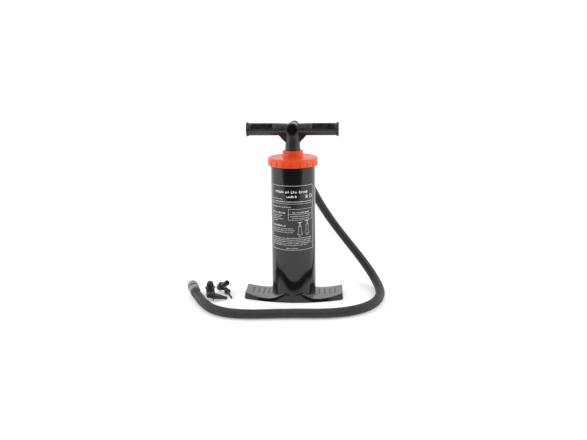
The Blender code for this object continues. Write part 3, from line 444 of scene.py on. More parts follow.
def makeHoseEnd():
    e = hoseEnd
    sleeve = [(e["bore"], e["gap"], 0.0003), (e["sleeve"] - 0.0009, e["gap"], 0.0006),
              (e["sleeve"] - 0.0003, 0.0022, 0.0003), (e["sleeve"], 0.0026, 0.0003), (e["sleeve"], 0.0050, 0.0003),
              (e["sleeve"] - 0.0003, 0.0054, 0.0002), (e["sleeve"] - 0.0002, e["sleeveEnd"] - 0.0030, 0.0002),
              (e["sleeve"], e["sleeveEnd"] - 0.0026, 0.0002), (e["sleeve"], e["sleeveEnd"], 0.0005),
              (e["spigot"], e["sleeveEnd"], 0), (e["spigot"], e["spigotEnd"], 0.0006), (e["bore"], e["spigotEnd"], 0.0003)]
    ring = [(e["spigot"] + e["gap"], e["ringStart"], 0.0002), (e["ring"], e["ringStart"], 0.0008),
            (e["ring"], e["ringEnd"], 0.0008), (e["spigot"] + e["gap"], e["ringEnd"], 0.0002)]
    inner = e["spigot"] + e["gap"]
    collar = [(inner, e["collarStart"], 0.0002), (e["collar"] - 0.0004, e["collarStart"], 0.0004),
              (e["collar"], e["collarStart"] + 0.0012, 0.0006), (e["collar"], e["collarEnd"] - 0.0020, 0.0012),
              (e["collar"] - 0.0015, e["collarEnd"], 0.0008), (e["bore"], e["collarEnd"], 0.0006),
              (e["bore"], e["spigotEnd"] + 0.001, 0), (inner, e["spigotEnd"] + 0.001, 0)]
    made = []
    for name, points, finish, slot, node in (
            ("hoseEndSleeve", sleeve, greyAbs, "hose_end_abs", "hose_end_sleeve"),
            ("hoseEndRing", ring, blackNbr, "seal_nbr", "hose_end_ring"),
            ("hoseEndCollar", collar, greyAbs, "hose_end_abs", "hose_end_collar")):
        shape = spun(softCorners(points, 3), 80, closed=True)
        piece = addPiece(name, standAlong(shape, hoseTip, hoseHeading), finish)
        settle(piece, "hose", slot, node)
        made.append(piece)
    return made


def lying(lowRadius, highRadius, length, heading):
    flat = Vector((heading[0], heading[1], 0)).normalized()
    return Vector((flat.x, flat.y, (highRadius - lowRadius) / length)).normalized()


nozzles = {
    "nozzle_dome": {
        "place": (-0.186, -0.008, 0), "way": (0, 0, 1),
        "profile": [(0.0045, 0.0004, 0.0003), (0.0100, 0.0004, 0.0005), (0.0100, 0.0024, 0.0005),
                    (0.0092, 0.0030, 0.0004), (0.0098, 0.0176, 0.0004), (0.0116, 0.0182, 0.0004),
                    (0.0116, 0.0202, 0.0005), (0.0078, 0.0208, 0.0006), (0.0077, 0.0270, 0.0020),
                    (0.0064, 0.0314, 0.0030), (0.0036, 0.0334, 0.0016), (0.0018, 0.0338, 0.0003),
                    (0.0018, 0.0304, 0.0004), (0.0045, 0.0274, 0.0006)]},
    "nozzle_cone": {
        "place": (-0.1726, -0.0371, 0.0100), "way": lying(0.0096, 0.0030, 0.029, (0.988, 0.156)),
        "profile": [(0.0018, -0.0150, 0.0003), (0.0062, -0.0150, 0.0003), (0.0068, -0.0138, 0.0004),
                    (0.0068, -0.0110, 0.0003), (0.0064, -0.0106, 0.0002), (0.0064, -0.0070, 0.0002),
                    (0.0068, -0.0066, 0.0003), (0.0068, -0.0014, 0.0003), (0.0096, -0.0012, 0.0004),
                    (0.0096, 0.0008, 0.0004), (0.0068, 0.0010, 0.0008), (0.0031, 0.0280, 0.0006),
                    (0.0024, 0.0290, 0.0004), (0.0018, 0.0290, 0.0002)]},
    "nozzle_needle": {
        "place": (-0.1483, -0.0048, 0.0078), "way": lying(0.0074, 0.0020, 0.028, (0.472, -0.882)),
        "profile": [(0.0010, -0.0120, 0.0002), (0.0049, -0.0120, 0.0003), (0.0054, -0.0110, 0.0004),
                    (0.0054, -0.0012, 0.0003), (0.0074, -0.0010, 0.0004), (0.0074, 0.0008, 0.0004),
                    (0.0040, 0.0011, 0.0008), (0.0028, 0.0110, 0.0010), (0.0023, 0.0180, 0.0006),
                    (0.0021, 0.0270, 0.0005), (0.0015, 0.0280, 0.0003), (0.0010, 0.0280, 0.0001)]},
    "nozzle_wide": {
        "place": (-0.1637, 0.0144, 0.0140), "way": (0.63, -0.55, 0.548),
        "profile": [(0.0018, -0.0120, 0.0003), (0.0072, -0.0120, 0.0003), (0.0078, -0.0108, 0.0004),
                    (0.0078, -0.0012, 0.0003), (0.0098, -0.0010, 0.0004), (0.0098, 0.0010, 0.0004),
                    (0.0066, 0.0013, 0.0008), (0.0060, 0.0150, 0.0010), (0.0058, 0.0235, 0.0006),
                    (0.0050, 0.0245, 0.0004), (0.0042, 0.0245, 0.0004), (0.0038, 0.0215, 0.0004),
                    (0.0018, 0.0205, 0.0002)]},
}


def makeNozzles():
    made = []
    for node, nozzle in nozzles.items():
        shape = spun(softCorners(nozzle["profile"], 3), 48, closed=True)
        standAlong(shape, nozzle["place"], nozzle["way"])
        first, last = node.split("_")
        piece = addPiece(first + last.capitalize(), shape, nozzlePe)
        settle(piece, "hose", "nozzle_pe", node)
        made.append(piece)
    return made


string = {"radius": 0.0005, "lobe": 0.16, "sides": 12, "twist": 0.0034, "step": 0.0005, "loopRadius": 0.0108,
          "knotTurns": 3, "knotSize": 0.00042}
stringRoute = [Vector(place) for place in (
    (-0.2040, -0.0202, 0.0114), (-0.201, -0.0192, 0.0092), (-0.1986, -0.0189, 0.0060), (-0.1964, -0.0198, 0.0028),
    (-0.193, -0.0212, 0.0011), (-0.186, -0.0226, 0.0009), (-0.178, -0.0233, 0.0009), (-0.170, -0.0226, 0.0009),
    (-0.1635, -0.020, 0.0009), (-0.160, -0.0155, 0.0009))]


def twistedString(line):
    # a three-lobed ring spun forward along Z gives the strands, and is then laid on the line
    length = lengths(line)[-1]
    steps = round(length / string["step"])
    shape = bmesh.new()
    ring = bmesh.ops.create_circle(shape, segments=string["sides"], radius=string["radius"] * (1 - string["lobe"]))["verts"]
    for vert in ring:
        angle = math.atan2(vert.co.y, vert.co.x)
        vert.co *= 1 + string["lobe"] * math.cos(3 * angle)
    bmesh.ops.spin(shape, geom=shape.verts[:] + shape.edges[:], cent=(0, 0, 0), axis=(0, 0, 1),
                   dvec=(0, 0, length / steps), angle=math.tau * length / string["twist"], steps=steps)
    bmesh.ops.holes_fill(shape, edges=shape.edges, sides=string["sides"])
    return bendAlong(shape, line)


def makeString():
    line = smoothRoute(stringRoute, 0.0015)
    tether = addPiece("nozzleString", twistedString(line), greyString, sharpAngle=80)
    settle(tether, "hose", "twine", "tether")

    here, there = hoseRoute[-2:]
    around = []
    for step in range(49):
        turn = math.tau * step / 48
        around.append(string["loopRadius"] * Vector((math.cos(turn), math.sin(turn), 0)))
    loop = standAlong(twistedString(around), 0.55 * here + 0.45 * there, there - here)
    loop = addPiece("stringLoop", loop, greyString, sharpAngle=80)
    settle(loop, "hose", "twine", "tether_loop")

    centre = Vector(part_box("tether_knot")[0]).lerp(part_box("tether_knot")[1], 0.5)
    turns = []
    for step in range(61):
        t = math.tau * step / 60
        turns.append(string["knotSize"] * Vector((
            math.sin(t) + 2 * math.sin(2 * t), math.cos(t) - 2 * math.cos(2 * t), -1.2 * math.sin(3 * t))))
    knot = addPiece("stringKnot", standAlong(twistedString(turns), centre, (0.2, -0.3, 1)), greyString, sharpAngle=80)
    settle(knot, "hose", "twine", "tether_knot")
    return tether, line, loop, knot


hosePiece, hoseLine, hoseLength = makeHose()
cuffPiece = makeCuff()
endPieces = makeHoseEnd()
nozzlePieces = makeNozzles()
stringPiece, stringLine, loopPiece, knotPiece = makeString()
print("hose, its end, nozzles and string made")

# barrel: one moulding with the foot plate, turned as one shell whose rows are set for each direction
barrel = {
    "wallBase": 0.0480, "wallTop": 0.0466, "shoulderZ": 0.2912, "collar": 0.0460, "rimZ": 0.3040, "bore": 0.0432,
    "floorZ": 0.006, "steps": 240, "crowding": 0.35,
    "footHalf": 0.1084, "footBack": 0.036, "frontEnd": 0.0255,
    "cornerPower": 36, "waistX": 0.058, "waistZ": 0.007, "endZ": 0.0145, "rootZ": 0.017,
    "draft": 0.0020, "edge": 0.0009, "fillet": 0.0050, "underEdge": 0.0006,
}
slots = {"columns": (0.0555, 0.0670, 0.0785, 0.0900), "rows": (-0.006, 0.006, 0.018), "length": 0.0085,
         "width": 0.0022, "depth": 0.0011, "slant": 14}
pocket = {"depth": 0.004, "wall": 0.003, "rib": 0.0016}


def wallAt(z):
    b = barrel
    return b["wallBase"] + (b["wallTop"] - b["wallBase"]) * min(1.0, z / b["shoulderZ"])


def footTop(x):
    b = barrel
    away = abs(x) - b["waistX"]
    if away > 0:
        return b["waistZ"] + (b["endZ"] - b["waistZ"]) * (away / (b["footHalf"] - b["waistX"])) ** 2
    root = b["waistX"] - 0.5 * b["wallBase"]
    return b["waistZ"] + (b["rootZ"] - b["waistZ"]) * min(1.0, -away / root) ** 2


def footReach(turn):
    # how far the plate's outline is from the barrel's axis in a direction, with its corners rounded off
    b = barrel
    across, along = abs(math.cos(turn)), math.sin(turn)
    reaches = [b["footHalf"] / max(across, 0.001)]
    if along > 0:
        reaches.append(b["footBack"] / max(along, 0.001))
    else:
        # the front is a parabola: y = -wallBase + bow * x * x
        bow = (b["wallBase"] - b["frontEnd"]) / b["footHalf"] ** 2
        lean = along / (2 * bow * max(across, 0.001) ** 2)
        reaches.append(b["wallBase"] / -along if across < 0.02 else
                       lean + math.sqrt(lean * lean + b["wallBase"] / (bow * across * across)))
    power = b["cornerPower"]
    return sum(reach ** -power for reach in reaches) ** (-1 / power)


def barrelSection(turn):
    # half section from the underside's centre, out over the plate, up the wall, over the rim and down the bore
    b = barrel
    across = abs(math.cos(turn))
    reach = max(footReach(turn), b["wallBase"])
    width = reach - b["wallBase"]
    edge = min(b["edge"], 0.2 * width)
    draft = min(b["draft"], 0.3 * width)
    fillet = min(b["fillet"], 0.6 * width)
    rows = [(0, 0), (reach - min(b["underEdge"], width), 0), (reach, b["underEdge"])]
    outer = reach - draft - edge
    top = footTop(outer * across)
    for step in range(5):
        lean = math.radians(22.5 * step)
        rows.append((outer + edge * math.cos(lean), top - b["edge"] * (1 - math.sin(lean))))
    inner = b["wallBase"] + fillet
    for step in range(1, 8):
        radius = outer + (inner - outer) * step / 8
        rows.append((radius, footTop(radius * across) + 0.0004 * step / 8))
    foot = footTop(inner * across) + 0.0004
    for step in range(7):
        lean = math.radians(15 * step)
        rows.append((inner - fillet * math.sin(lean), foot + b["fillet"] * (1 - math.cos(lean))))
    rows = [(radius, z) if z < b["underEdge"] else (max(radius, wallAt(z)), z) for radius, z in rows]
    rows += [(wallAt(z), z) for z in (0.030, 0.060, 0.290)]
    rows += softCorners([
        (b["wallTop"], 0.2905, 0), (b["wallTop"], b["shoulderZ"], 0.0008), (b["collar"], b["shoulderZ"], 0.0003),
        (b["collar"], b["rimZ"], 0.0006), (b["bore"], b["rimZ"], 0.0006), (b["bore"], b["floorZ"], 0.0020),
        (0, b["floorZ"], 0)], 3)
    return rows


def barrelShape():
    rows = len(barrelSection(0.0))
    last = rows - 1
    shape = spun([(0 if row in (0, last) else 1, row) for row in range(rows)], barrel["steps"])
    sections = {}
    for vert in shape.verts:
        row = round(vert.co.z)
        turn = math.atan2(vert.co.y, vert.co.x)
        turn -= barrel["crowding"] * math.sin(2 * turn)
        key = round(turn, 5)
        if key not in sections:
            sections[key] = barrelSection(turn)
        radius, z = sections[key][row]
        vert.co = (radius * math.cos(turn), radius * math.sin(turn), z)
    return shape


def footPockets():
    b = barrel
    near = b["wallBase"] + pocket["wall"]
    far = b["footHalf"] - pocket["wall"] - b["draft"]
    middle = 0.5 * (near + far)
    shapes = []
    for sign in (-1, 1):
        for start, end in ((near, middle - pocket["rib"]), (middle + pocket["rib"], far)):
            low, high = sorted((sign * start, sign * end))
            shapes.append(softBox((low, -0.0105, -0.006), (high, 0.0303, pocket["depth"]), 0.001))
    return joinShapes(shapes)


def footSlots():
    shapes = []
    for sign in (-1, 1):
        for x in slots["columns"]:
            for y in slots["rows"]:
                reach = 0.5 * slots["length"]
                half = 0.5 * slots["width"]
                cutter = softBox((-half, -reach, -slots["depth"]), (half, reach, 0.006), 0.0006)
                bmesh.ops.rotate(cutter, matrix=Matrix.Rotation(math.radians(-slots["slant"]), 3, "Z"),
                                 verts=cutter.verts)
                bmesh.ops.translate(cutter, vec=(sign * x, y, footTop(x)), verts=cutter.verts)
                shapes.append(cutter)
    return joinShapes(shapes)


def makeBarrel():
    piece = addPiece("barrelShell", barrelShape(), blackAbs, sharpAngle=40)
    combine(piece, footPockets(), "DIFFERENCE")
    combine(piece, footSlots(), "DIFFERENCE")
    combine(piece, threadRidge(barrel["collar"] - 0.0005, barrel["collar"] + 0.0014, 0.2940, 0.004, 1.5), "UNION")
    piece.data.set_sharp_from_angle(angle=math.radians(40))
    settle(piece, "barrel", "barrel_abs", "barrel")


makeBarrel()
print("barrel made")

# printed panel on the barrel: strokes and word-like blocks that spell nothing; x is arc length from the front
panel = {"halfWidth": 0.0510, "low": 0.118, "high": 0.256, "line": 0.0007, "ink": 0.00008, "under": 0.00004,
         "longest": 0.0015}
# left, right, base and letter height of each line of words
panelWords = [
    (-0.0380, 0.0380, 0.2400, 0.0056), (-0.0112, 0.0112, 0.2308, 0.0050), (-0.0480, -0.0200, 0.2268, 0.0022),
    (-0.0480, 0.0470, 0.2212, 0.0024), (-0.0480, -0.0020, 0.2098, 0.0024),
    (-0.0480, -0.0140, 0.1965, 0.0042), (-0.0470, -0.0210, 0.1918, 0.0018), (-0.0470, -0.0250, 0.1880, 0.0018),
    (-0.0470, -0.0180, 0.1842, 0.0018), (-0.0470, -0.0340, 0.1804, 0.0018),
    (0.0010, 0.0390, 0.1982, 0.0034), (-0.0040, 0.0430, 0.1905, 0.0019), (0.0000, 0.0390, 0.1862, 0.0019),
    (-0.0480, -0.0120, 0.1690, 0.0042), (-0.0470, 0.0030, 0.1640, 0.0018), (-0.0470, 0.0055, 0.1600, 0.0018),
    (-0.0470, 0.0020, 0.1560, 0.0018), (-0.0470, -0.0250, 0.1434, 0.0022), (-0.0230, 0.0450, 0.1434, 0.0019),
    (-0.0470, 0.0460, 0.1396, 0.0019), (-0.0470, 0.0440, 0.1358, 0.0019), (-0.0470, 0.0460, 0.1320, 0.0019),
    (-0.0470, 0.0350, 0.1282, 0.0019), (-0.0130, 0.0130, 0.1214, 0.0019),
]
# left, low, right, high of each ruled line
panelRules = [(-0.0510, 0.2175, 0.0510, 0.2181), (-0.0080, 0.1830, 0.0480, 0.1836), (-0.0080, 0.1952, 0.0480, 0.1958),
              (-0.0080, 0.2062, 0.0480, 0.2068), (-0.0080, 0.1830, -0.0074, 0.2068), (0.0474, 0.1830, 0.0480, 0.2068)]


def inkBar(sheet, left, low, right, high):
    # bars longer than a few degrees of the wall are cut into short lengths so that they can follow it
    pieces = max(1, math.ceil((right - left) / panel["longest"]))
    width = (right - left) / pieces
    grid = bmesh.ops.create_grid(sheet, x_segments=pieces, y_segments=1, size=0.5)["verts"]
    bmesh.ops.scale(sheet, vec=(right - left, high - low, 1), verts=grid)
    bmesh.ops.translate(sheet, vec=((left + right) / 2, (low + high) / 2, 0), verts=grid)
    return width


def inkWords(sheet, left, right, base, height, chance):
    # each letter is a block or a pair of short blocks of a random build, so that lines look set but can't be read
    at = left
    letters = chance.randint(3, 8)
    while at < right - 0.5 * height:
        width = height * chance.choice((0.30, 0.48, 0.56, 0.62))
        rise = height * chance.choice((0.72, 0.72, 0.74, 1.0))
        if width > 0.4 * height:
            stem = 0.2 * height
            inkBar(sheet, at, base, at + stem, base + rise)
            inkBar(sheet, at + stem, base + (0.0 if chance.random() < 0.5 else 0.5) * rise, at + width,
                   base + (0.28 if chance.random() < 0.4 else 0.72) * rise + 0.12 * height)
        else:
            inkBar(sheet, at, base, at + width, base + rise)
        at += width + 0.17 * height
        letters -= 1
        if not letters:
            at += 0.35 * height
            letters = chance.randint(3, 8)


def inkFigure(sheet, x, low, high):
    # a small generic diagram: a bar for a handle, two shafts and a foot
    tall = high - low
    inkBar(sheet, x - 0.0050, high - 0.0016, x + 0.0050, high - 0.0004)
    inkBar(sheet, x - 0.0008, high - 0.0090, x + 0.0008, high - 0.0016)
    for side in (-1, 1):
        inkBar(sheet, x + side * 0.0030 - 0.0003, low + 0.25 * tall, x + side * 0.0030 + 0.0003, high - 0.0090)
        inkBar(sheet, x + side * 0.0048 - 0.0003, low + 0.12 * tall, x + side * 0.0048 + 0.0003, low + 0.25 * tall)
    inkBar(sheet, x - 0.0033, high - 0.0096, x + 0.0033, high - 0.0090)
    inkBar(sheet, x - 0.0051, low + 0.10 * tall, x + 0.0051, low + 0.12 * tall)
    inkBar(sheet, x - 0.0020, low, x + 0.0020, low + 0.0008)


def inkDisc(sheet, x, z, outer, inner):
    ring = bmesh.ops.create_circle(sheet, segments=32, radius=outer)["verts"]
    hole = bmesh.ops.create_circle(sheet, segments=32, radius=inner)["verts"]
    edges = list({edge for vert in ring + hole for edge in vert.link_edges})
    bmesh.ops.bridge_loops(sheet, edges=edges)
    bmesh.ops.translate(sheet, vec=(x, z, 0), verts=ring + hole)


def makePanel():
    chance = random.Random(11)
    p = panel
    sheet = bmesh.new()
    for left, right, base, height in panelWords:
        inkWords(sheet, left, right, base, height, chance)
    for rule in panelRules:
        inkBar(sheet, *rule)
    side = p["halfWidth"]
    for low in (p["low"], p["high"] - p["line"]):
        inkBar(sheet, -side, low, side, low + p["line"])
    for left in (-side, side - p["line"]):
        inkBar(sheet, left, p["low"] + p["line"], left + p["line"], p["high"] - p["line"])
    inkFigure(sheet, 0.0165, 0.148, 0.179)
    inkFigure(sheet, 0.0335, 0.150, 0.182)
    inkDisc(sheet, 0.0440, 0.2325, 0.0042, 0.0026)
    inkBar(sheet, 0.0285, 0.2290, 0.0365, 0.2297)
    inkBar(sheet, 0.0285, 0.2353, 0.0365, 0.2360)
    inkBar(sheet, 0.0300, 0.2310, 0.0350, 0.2342)
    # the flat sheet gets its thickness, then goes round the wall
    grown = bmesh.ops.extrude_face_region(sheet, geom=sheet.faces[:], use_keep_orig=True)["geom"]
    raised = [part for part in grown if isinstance(part, bmesh.types.BMVert)]
    bmesh.ops.translate(sheet, vec=(0, 0, p["ink"] + p["under"]), verts=raised)
    for vert in sheet.verts:
        arc, z, out = vert.co
        radius = wallAt(z) - p["under"] + out
        turn = arc / wallAt(z) - math.pi / 2
        vert.co = (radius * math.cos(turn), radius * math.sin(turn), z)
    piece = addPiece("printedPanel", sheet, whiteInk)
    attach(piece, "barrel")


makePanel()
print("printed panel made")

# cap: screw cap with a boss, and ribs round its skirt
cap = {"bore": 0.0480, "radius": 0.0524, "floorZ": 0.2930, "ceilingZ": 0.3063, "topZ": 0.3093, "shoulder": 0.0056,
       "boss": 0.0220, "bossTopZ": 0.3233, "bossBore": 0.0200, "ledgeZ": 0.3208, "hole": 0.0166,
       "ribs": 20, "columns": 16, "ribLowZ": 0.2942, "ribHighZ": 0.3030, "ribRise": 0.0013, "ribDraft": 0.0004}


def makeCap():
    c = cap
    outline = softCorners([
        (c["bore"], c["floorZ"], 0.0004), (c["radius"] + 0.0002, c["floorZ"], 0.0008), (c["radius"], c["ribLowZ"], 0),
        (c["radius"], c["ribHighZ"], 0), (c["radius"], c["topZ"], c["shoulder"]), (c["boss"], c["topZ"], 0.0012),
        (c["boss"] - 0.0004, c["bossTopZ"], 0.0016), (c["hole"], c["bossTopZ"], 0.0005),
        (c["hole"], c["ledgeZ"], 0), (c["bossBore"], c["ledgeZ"], 0), (c["bossBore"], c["ceilingZ"], 0.0005),
        (c["bore"], c["ceilingZ"], 0.0008)], 6)
    steps = c["ribs"] * c["columns"]
    shape = spun(outline, steps, closed=True)
    for rib in range(c["ribs"]):
        middle = math.tau * rib / c["ribs"]
        toRib = Vector((math.cos(middle), math.sin(middle), 0))
        faces = []
        for face in shape.faces:
            centre = face.calc_center_median()
            if not c["ribLowZ"] < centre.z < c["ribHighZ"] or math.hypot(centre.x, centre.y) < c["radius"] - 0.0002:
                continue
            centre.z = 0
            if centre.angle(toRib) < 2 * math.tau / steps:
                faces.append(face)
        bmesh.ops.inset_region(shape, faces=faces, thickness=c["ribDraft"], depth=c["ribRise"], use_even_offset=True)
        border = set()
        for face in faces:
            for edge in face.edges:
                if sum(other in faces for other in edge.link_faces) == 1:
                    border.add(edge)
        bmesh.ops.bevel(shape, geom=list(border), offset=0.0004, segments=2, profile=0.5, affect="EDGES", material=-1)
    piece = addPiece("screwCap", shape, orangePp)
    combine(piece, threadRidge(c["bore"] + 0.0005, c["bore"] - 0.0014, 0.2960, 0.004, 1.5), "UNION")
    piece.data.set_sharp_from_angle(angle=math.radians(40))
    settle(piece, "cap", "cap_pp", "cap")


makeCap()
print("cap made")

# rod and T handle
rod = {"radius": 0.0160, "bore": 0.0134, "low": 0.0128, "high": 0.3247, "windowLow": 0.0168, "windowHigh": 0.0305,
       "windowHalf": 0.007}


def makeRod():
    shape = spun(softCorners([
        (rod["bore"], rod["low"], 0.0004), (rod["radius"], rod["low"], 0.0004), (rod["radius"], rod["high"], 0.0004),
        (rod["bore"], rod["high"], 0.0004), (rod["bore"], rod["low"] + 0.001, 0)], 3), 120, closed=True)
    piece = addPiece("hollowRod", shape, rodPp)
    combine(piece, softBox((-rod["windowHalf"], -0.03, rod["windowLow"]), (rod["windowHalf"], 0.03, rod["windowHigh"])),
            "DIFFERENCE")
    settle(piece, "rod_handle", "rod_pp", "piston_rod")


grip = {"start": 0.0100, "root": 0.0120, "rootEnd": 0.0130, "radius": 0.0130, "fullFrom": 0.0336, "flareFrom": 0.0895,
        "flareTo": 0.0945, "flange": 0.0153, "end": 0.0960, "steps": 96,
        "pocketHalf": 0.0020, "deepAt": (0.0432, 0.0514, 0.0595, 0.0676, 0.0757, 0.0840, 0.0925),
        "shallowAt": (0.0192, 0.0273, 0.0350), "core": 0.0013, "shallowDepth": 0.0011,
        "upper": (7.5, 82.5), "lower": (-82.5, -15), "softEdge": 0.0003}
hub = {"radius": 0.0142, "half": 0.0190, "bore": 0.0105, "lip": 0.0094, "lipFrom": -0.0110, "lipTo": 0.0101,
       "neckFootZ": 0.3250, "neckFoot": 0.0160, "neckTop": 0.0148, "neckTopZ": 0.3465, "spigot": 0.0131,
       "spigotZ": 0.3010, "channel": 0.0109, "channelTopZ": 0.3765, "gussetX": 0.0285, "gussetZ": 0.3405,
       "gussetHalf": 0.0040, "underGrip": 0.3552}


def gripRadius(x):
    g = grip
    if x < g["fullFrom"]:
        return g["root"] + (g["radius"] - g["root"]) * max(0.0, x - g["root"]) / (g["fullFrom"] - g["root"])
    if x < g["flareFrom"]:
        return g["radius"]
    share = min(1.0, (x - g["flareFrom"]) / (g["flareTo"] - g["flareFrom"]))
    return g["radius"] + (g["flange"] - g["radius"]) * share * share * (3 - 2 * share)


def sinkPocket(shape, region, side, floor):
    # the region's faces go in towards the grip's middle plane, to a flat floor or by a fixed depth
    grown = bmesh.ops.extrude_face_region(shape, geom=region)["geom"]
    for part in grown:
        if isinstance(part, bmesh.types.BMVert):
            part.co.y = side * floor(abs(part.co.y))


def gripShape(sign):
    g = grip
    stations = {g["start"], g["fullFrom"], g["flareFrom"]}
    for middle in g["deepAt"] + g["shallowAt"]:
        half = g["pocketHalf"] if middle < 0.09 else 0.0016
        stations |= {middle - half, middle + half}
    profile = [(0, g["start"])] + [(gripRadius(x), x) for x in sorted(stations)]
    profile += softCorners([(g["flange"], 0.0952, 0), (g["flange"], g["end"], 0.0006), (0, g["end"], 0)], 3)
    shape = spun(profile, g["steps"])
    bmesh.ops.rotate(shape, matrix=Matrix.Rotation(math.radians(90), 3, "Y"), verts=shape.verts)
    pockets = [(middle, g["pocketHalf"] if middle < 0.09 else 0.0016, True) for middle in g["deepAt"]]
    pockets += [(middle, g["pocketHalf"], False) for middle in g["shallowAt"]]
    for middle, half, deep in pockets:
        for side in (-1, 1):
            for low, high in (g["upper"], g["lower"]):
                if not deep:
                    low, high = low + 7.5, high - 7.5
                region = []
                for face in shape.faces:
                    centre = face.calc_center_median()
                    lean = math.degrees(math.atan2(centre.z, side * centre.y))
                    if abs(centre.x - middle) < half and low < lean < high:
                        if math.hypot(centre.y, centre.z) > 0.8 * g["root"]:
                            region.append(face)
                if deep:
                    sinkPocket(shape, region, side, lambda y: g["core"])
                else:
                    bmesh.ops.inset_region(shape, faces=region, thickness=0.0005)
                    sinkPocket(shape, region, side, lambda y: y - g["shallowDepth"])
    shape.normal_update()
    sharp = [edge for edge in shape.edges
             if edge.is_manifold and edge.calc_face_angle(0) > math.radians(38) and abs(edge.verts[0].co.x) > 0.012]
    bmesh.ops.bevel(shape, geom=sharp, offset=g["softEdge"], segments=2, profile=0.5, affect="EDGES",
                    clamp_overlap=True, material=-1)
    if sign < 0:
        bmesh.ops.scale(shape, vec=(-1, 1, 1), verts=shape.verts)
    bmesh.ops.translate(shape, vec=(0, 0, portZ), verts=shape.verts)
    bmesh.ops.recalc_face_normals(shape, faces=shape.faces)
    return shape


def gussetShape():
    h = hub
    shape = bmesh.new()
    outline = [(-0.010, h["gussetZ"]), (0.010, h["gussetZ"]), (0.0160, h["gussetZ"]), (h["gussetX"], h["underGrip"] - 0.0012),
               (h["gussetX"], h["underGrip"] + 0.003), (0.010, portZ), (-0.010, portZ),
               (-h["gussetX"], h["underGrip"] + 0.003), (-h["gussetX"], h["underGrip"] - 0.0012), (-0.0160, h["gussetZ"])]
    face = shape.faces.new([shape.verts.new((x, -h["gussetHalf"], z)) for x, z in outline])
    grown = bmesh.ops.extrude_face_region(shape, geom=[face])["geom"]
    moved = [part for part in grown if isinstance(part, bmesh.types.BMVert)]
    bmesh.ops.translate(shape, vec=(0, 2 * h["gussetHalf"], 0), verts=moved)
    return shape


def makeHandle():
    h = hub
    body = spun(softCorners([(0, -h["half"], 0), (h["radius"], -h["half"], 0.0012), (h["radius"], h["half"], 0.0012),
                             (0, h["half"], 0)], 4), 96)
    piece = addPiece("tHandle", standAlong(body, (0, 0, portZ), (0, 1, 0)), handleNylon)
    sides = spun([(0, -0.0145), (grip["root"], -0.0145), (grip["root"], 0.0145), (0, 0.0145)], 96)
    combine(piece, standAlong(sides, (0, 0, portZ), (1, 0, 0)), "UNION")
    combine(piece, spun(softCorners([
        (0, h["spigotZ"], 0), (h["spigot"], h["spigotZ"], 0.0005), (h["spigot"], h["neckFootZ"], 0),
        (h["neckFoot"], h["neckFootZ"], 0.0005), (h["neckTop"], h["neckTopZ"], 0.010), (h["neckTop"] - 0.0001, portZ, 0),
        (0, portZ, 0)], 5), 96), "UNION")
    combine(piece, gussetShape(), "UNION")
    softenEdges(piece, 0.0009, 3, 25)
    combine(piece, spun([(0, h["spigotZ"] - 0.01), (h["channel"], h["spigotZ"] - 0.01),
                         (h["channel"], h["channelTopZ"]), (0, h["channelTopZ"])], 96), "DIFFERENCE")
    bore = softCorners([
        (0, -0.024, 0), (h["bore"] + 0.0010, -0.024, 0), (h["bore"] + 0.0010, -h["half"], 0),
        (h["bore"], -h["half"] + 0.0010, 0.0005), (h["bore"], h["lipFrom"], 0.0003), (h["lip"], h["lipFrom"], 0.0003),
        (h["lip"], h["lipTo"], 0), (h["bore"], h["lipTo"], 0), (h["bore"], 0.024, 0), (0, 0.024, 0)], 3)
    combine(piece, standAlong(spun(bore, 96), (0, 0, portZ), (0, 1, 0)), "DIFFERENCE")
    piece.data.set_sharp_from_angle(angle=math.radians(35))
    settle(piece, "rod_handle", "handle_pp", "handle_hub")
    for node, sign in (("grip_left", -1), ("grip_right", 1)):
        side = addPiece(node.replace("_l", "L").replace("_r", "R"), gripShape(sign), handleNylon)
        settle(side, "rod_handle", "handle_pp", node)


makeRod()
makeHandle()
print("rod and handle made")

# what stays as the frame has it
kept = {
    "cap_seal": blackNbr, "rod_guide_bush": whitePom, "rod_seal": blackNbr, "seal_retainer": pistonAbs,
    "channel_divider": rodPp, "piston_upper": pistonAbs, "piston_lower": pistonAbs, "piston_ring": blackNbr,
    "piston_screw_left": zincSteel, "piston_screw_right": zincSteel, "rod_screw_left": zincSteel,
    "rod_screw_right": zincSteel, "suction_valve_upper": redSilicone, "suction_valve_lower": redSilicone,
    "pressure_valve_upper": redSilicone, "pressure_valve_lower": redSilicone,
}
for node, finish in kept.items():
    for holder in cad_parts[node].material_slots:
        holder.material = finish

# studio: white floor and a white room that is brighter at the sides and behind, dark low in front
studio = {"floorLeft": -2.6, "floorRight": 2.6, "floorFront": -0.95, "floorBack": 4.0}


def makeFloor():
    s = studio
    shape = bmesh.new()
    bmesh.ops.create_grid(shape, x_segments=8, y_segments=8, size=0.5)
    bmesh.ops.scale(shape, vec=(s["floorRight"] - s["floorLeft"], s["floorBack"] - s["floorFront"], 1), verts=shape.verts)
    bmesh.ops.translate(shape, vec=(0, (s["floorBack"] + s["floorFront"]) / 2, 0), verts=shape.verts)
    # sheet vinyl sweep: matt, even white
    made, tree, shader = newMaterial("mattWhiteVinyl")
    shader.inputs["Base Color"].default_value = linearColour("f4f4f4")
    shader.inputs["Roughness"].default_value = 0.85
    shader.inputs["Specular IOR Level"].default_value = 0.2
    shader.inputs["Emission Color"].default_value = (1, 1, 1, 1)
    shader.inputs["Emission Strength"].default_value = 0.25
    addPiece("floor", shape, made)


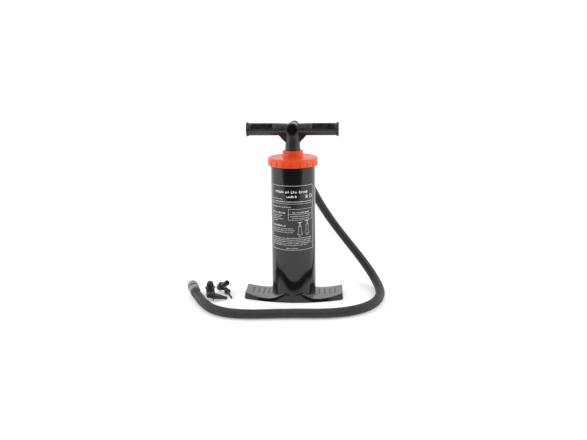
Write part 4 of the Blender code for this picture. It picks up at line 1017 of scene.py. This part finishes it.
def makeRoom():
    world = bpy.data.worlds.new("studioRoom")
    bpy.context.scene.world = world
    world.use_nodes = True
    tree = world.node_tree
    tree.nodes.clear()
    way = addNode(tree, "ShaderNodeSeparateXYZ", None,
                  {0: addNode(tree, "ShaderNodeTexCoord").outputs["Generated"]}).outputs

    def ramp(source, start, end, low, high):
        return addNode(tree, "ShaderNodeMapRange", {
            "interpolation_type": "SMOOTHSTEP", "From Min": start, "From Max": end, "To Min": low, "To Max": high},
            {"Value": source}).outputs[0]

    def mathNode(operation, first, second):
        node = addNode(tree, "ShaderNodeMath", {"operation": operation})
        for socket, value in ((0, first), (1, second)):
            if isinstance(value, (int, float)):
                node.inputs[socket].default_value = value
            else:
                tree.links.new(value, node.inputs[socket])
        return node.outputs[0]

    sideways = mathNode("ABSOLUTE", way["X"], 0.0)
    sides = ramp(sideways, 0.45, 0.9, 0.0, 1.1)
    behind = mathNode("MULTIPLY", ramp(way["Y"], 0.1, 0.8, 0.0, 1.5), ramp(way["Z"], 0.0, 0.3, 0.0, 1.0))
    front = mathNode("MULTIPLY", ramp(way["Y"], -0.8, -0.35, 1.0, 0.0), ramp(way["Z"], -0.1, 0.5, 1.0, 0.0))
    light = mathNode("ADD", mathNode("ADD", sides, behind), 1.0)
    light = mathNode("MULTIPLY", light, mathNode("SUBTRACT", 1.0, mathNode("MULTIPLY", front, 0.9)))
    light = mathNode("MULTIPLY", light, 0.62)
    lit = addNode(tree, "ShaderNodeBackground", {"Color": (1, 1, 1, 1)}, {"Strength": light}).outputs[0]
    plain = addNode(tree, "ShaderNodeBackground", {"Color": (1, 1, 1, 1), "Strength": 1.0}).outputs[0]
    seen = addNode(tree, "ShaderNodeLightPath").outputs["Is Camera Ray"]
    mixed = addNode(tree, "ShaderNodeMixShader", None, {0: seen, 1: lit, 2: plain}).outputs[0]
    addNode(tree, "ShaderNodeOutputWorld", None, {"Surface": mixed})


softboxes = {
    "leftSoftbox": {"place": (-1.5, -0.7, 1.1), "size": 1.0, "power": 8.5},
    "rightSoftbox": {"place": (1.5, -0.5, 1.2), "size": 1.0, "power": 7.5},
}


def makeLights():
    for name, box in softboxes.items():
        lamp = bpy.data.lights.new(name, "AREA")
        lamp.shape = "SQUARE"
        lamp.size = box["size"]
        lamp.energy = box["power"]
        made = bpy.data.objects.new(name, lamp)
        made.location = box["place"]
        made.rotation_euler = (Vector((0, 0, 0.15)) - Vector(box["place"])).to_track_quat("-Z", "Y").to_euler()
        bpy.context.scene.collection.objects.link(made)


makeFloor()
makeRoom()
makeLights()
print("studio made")
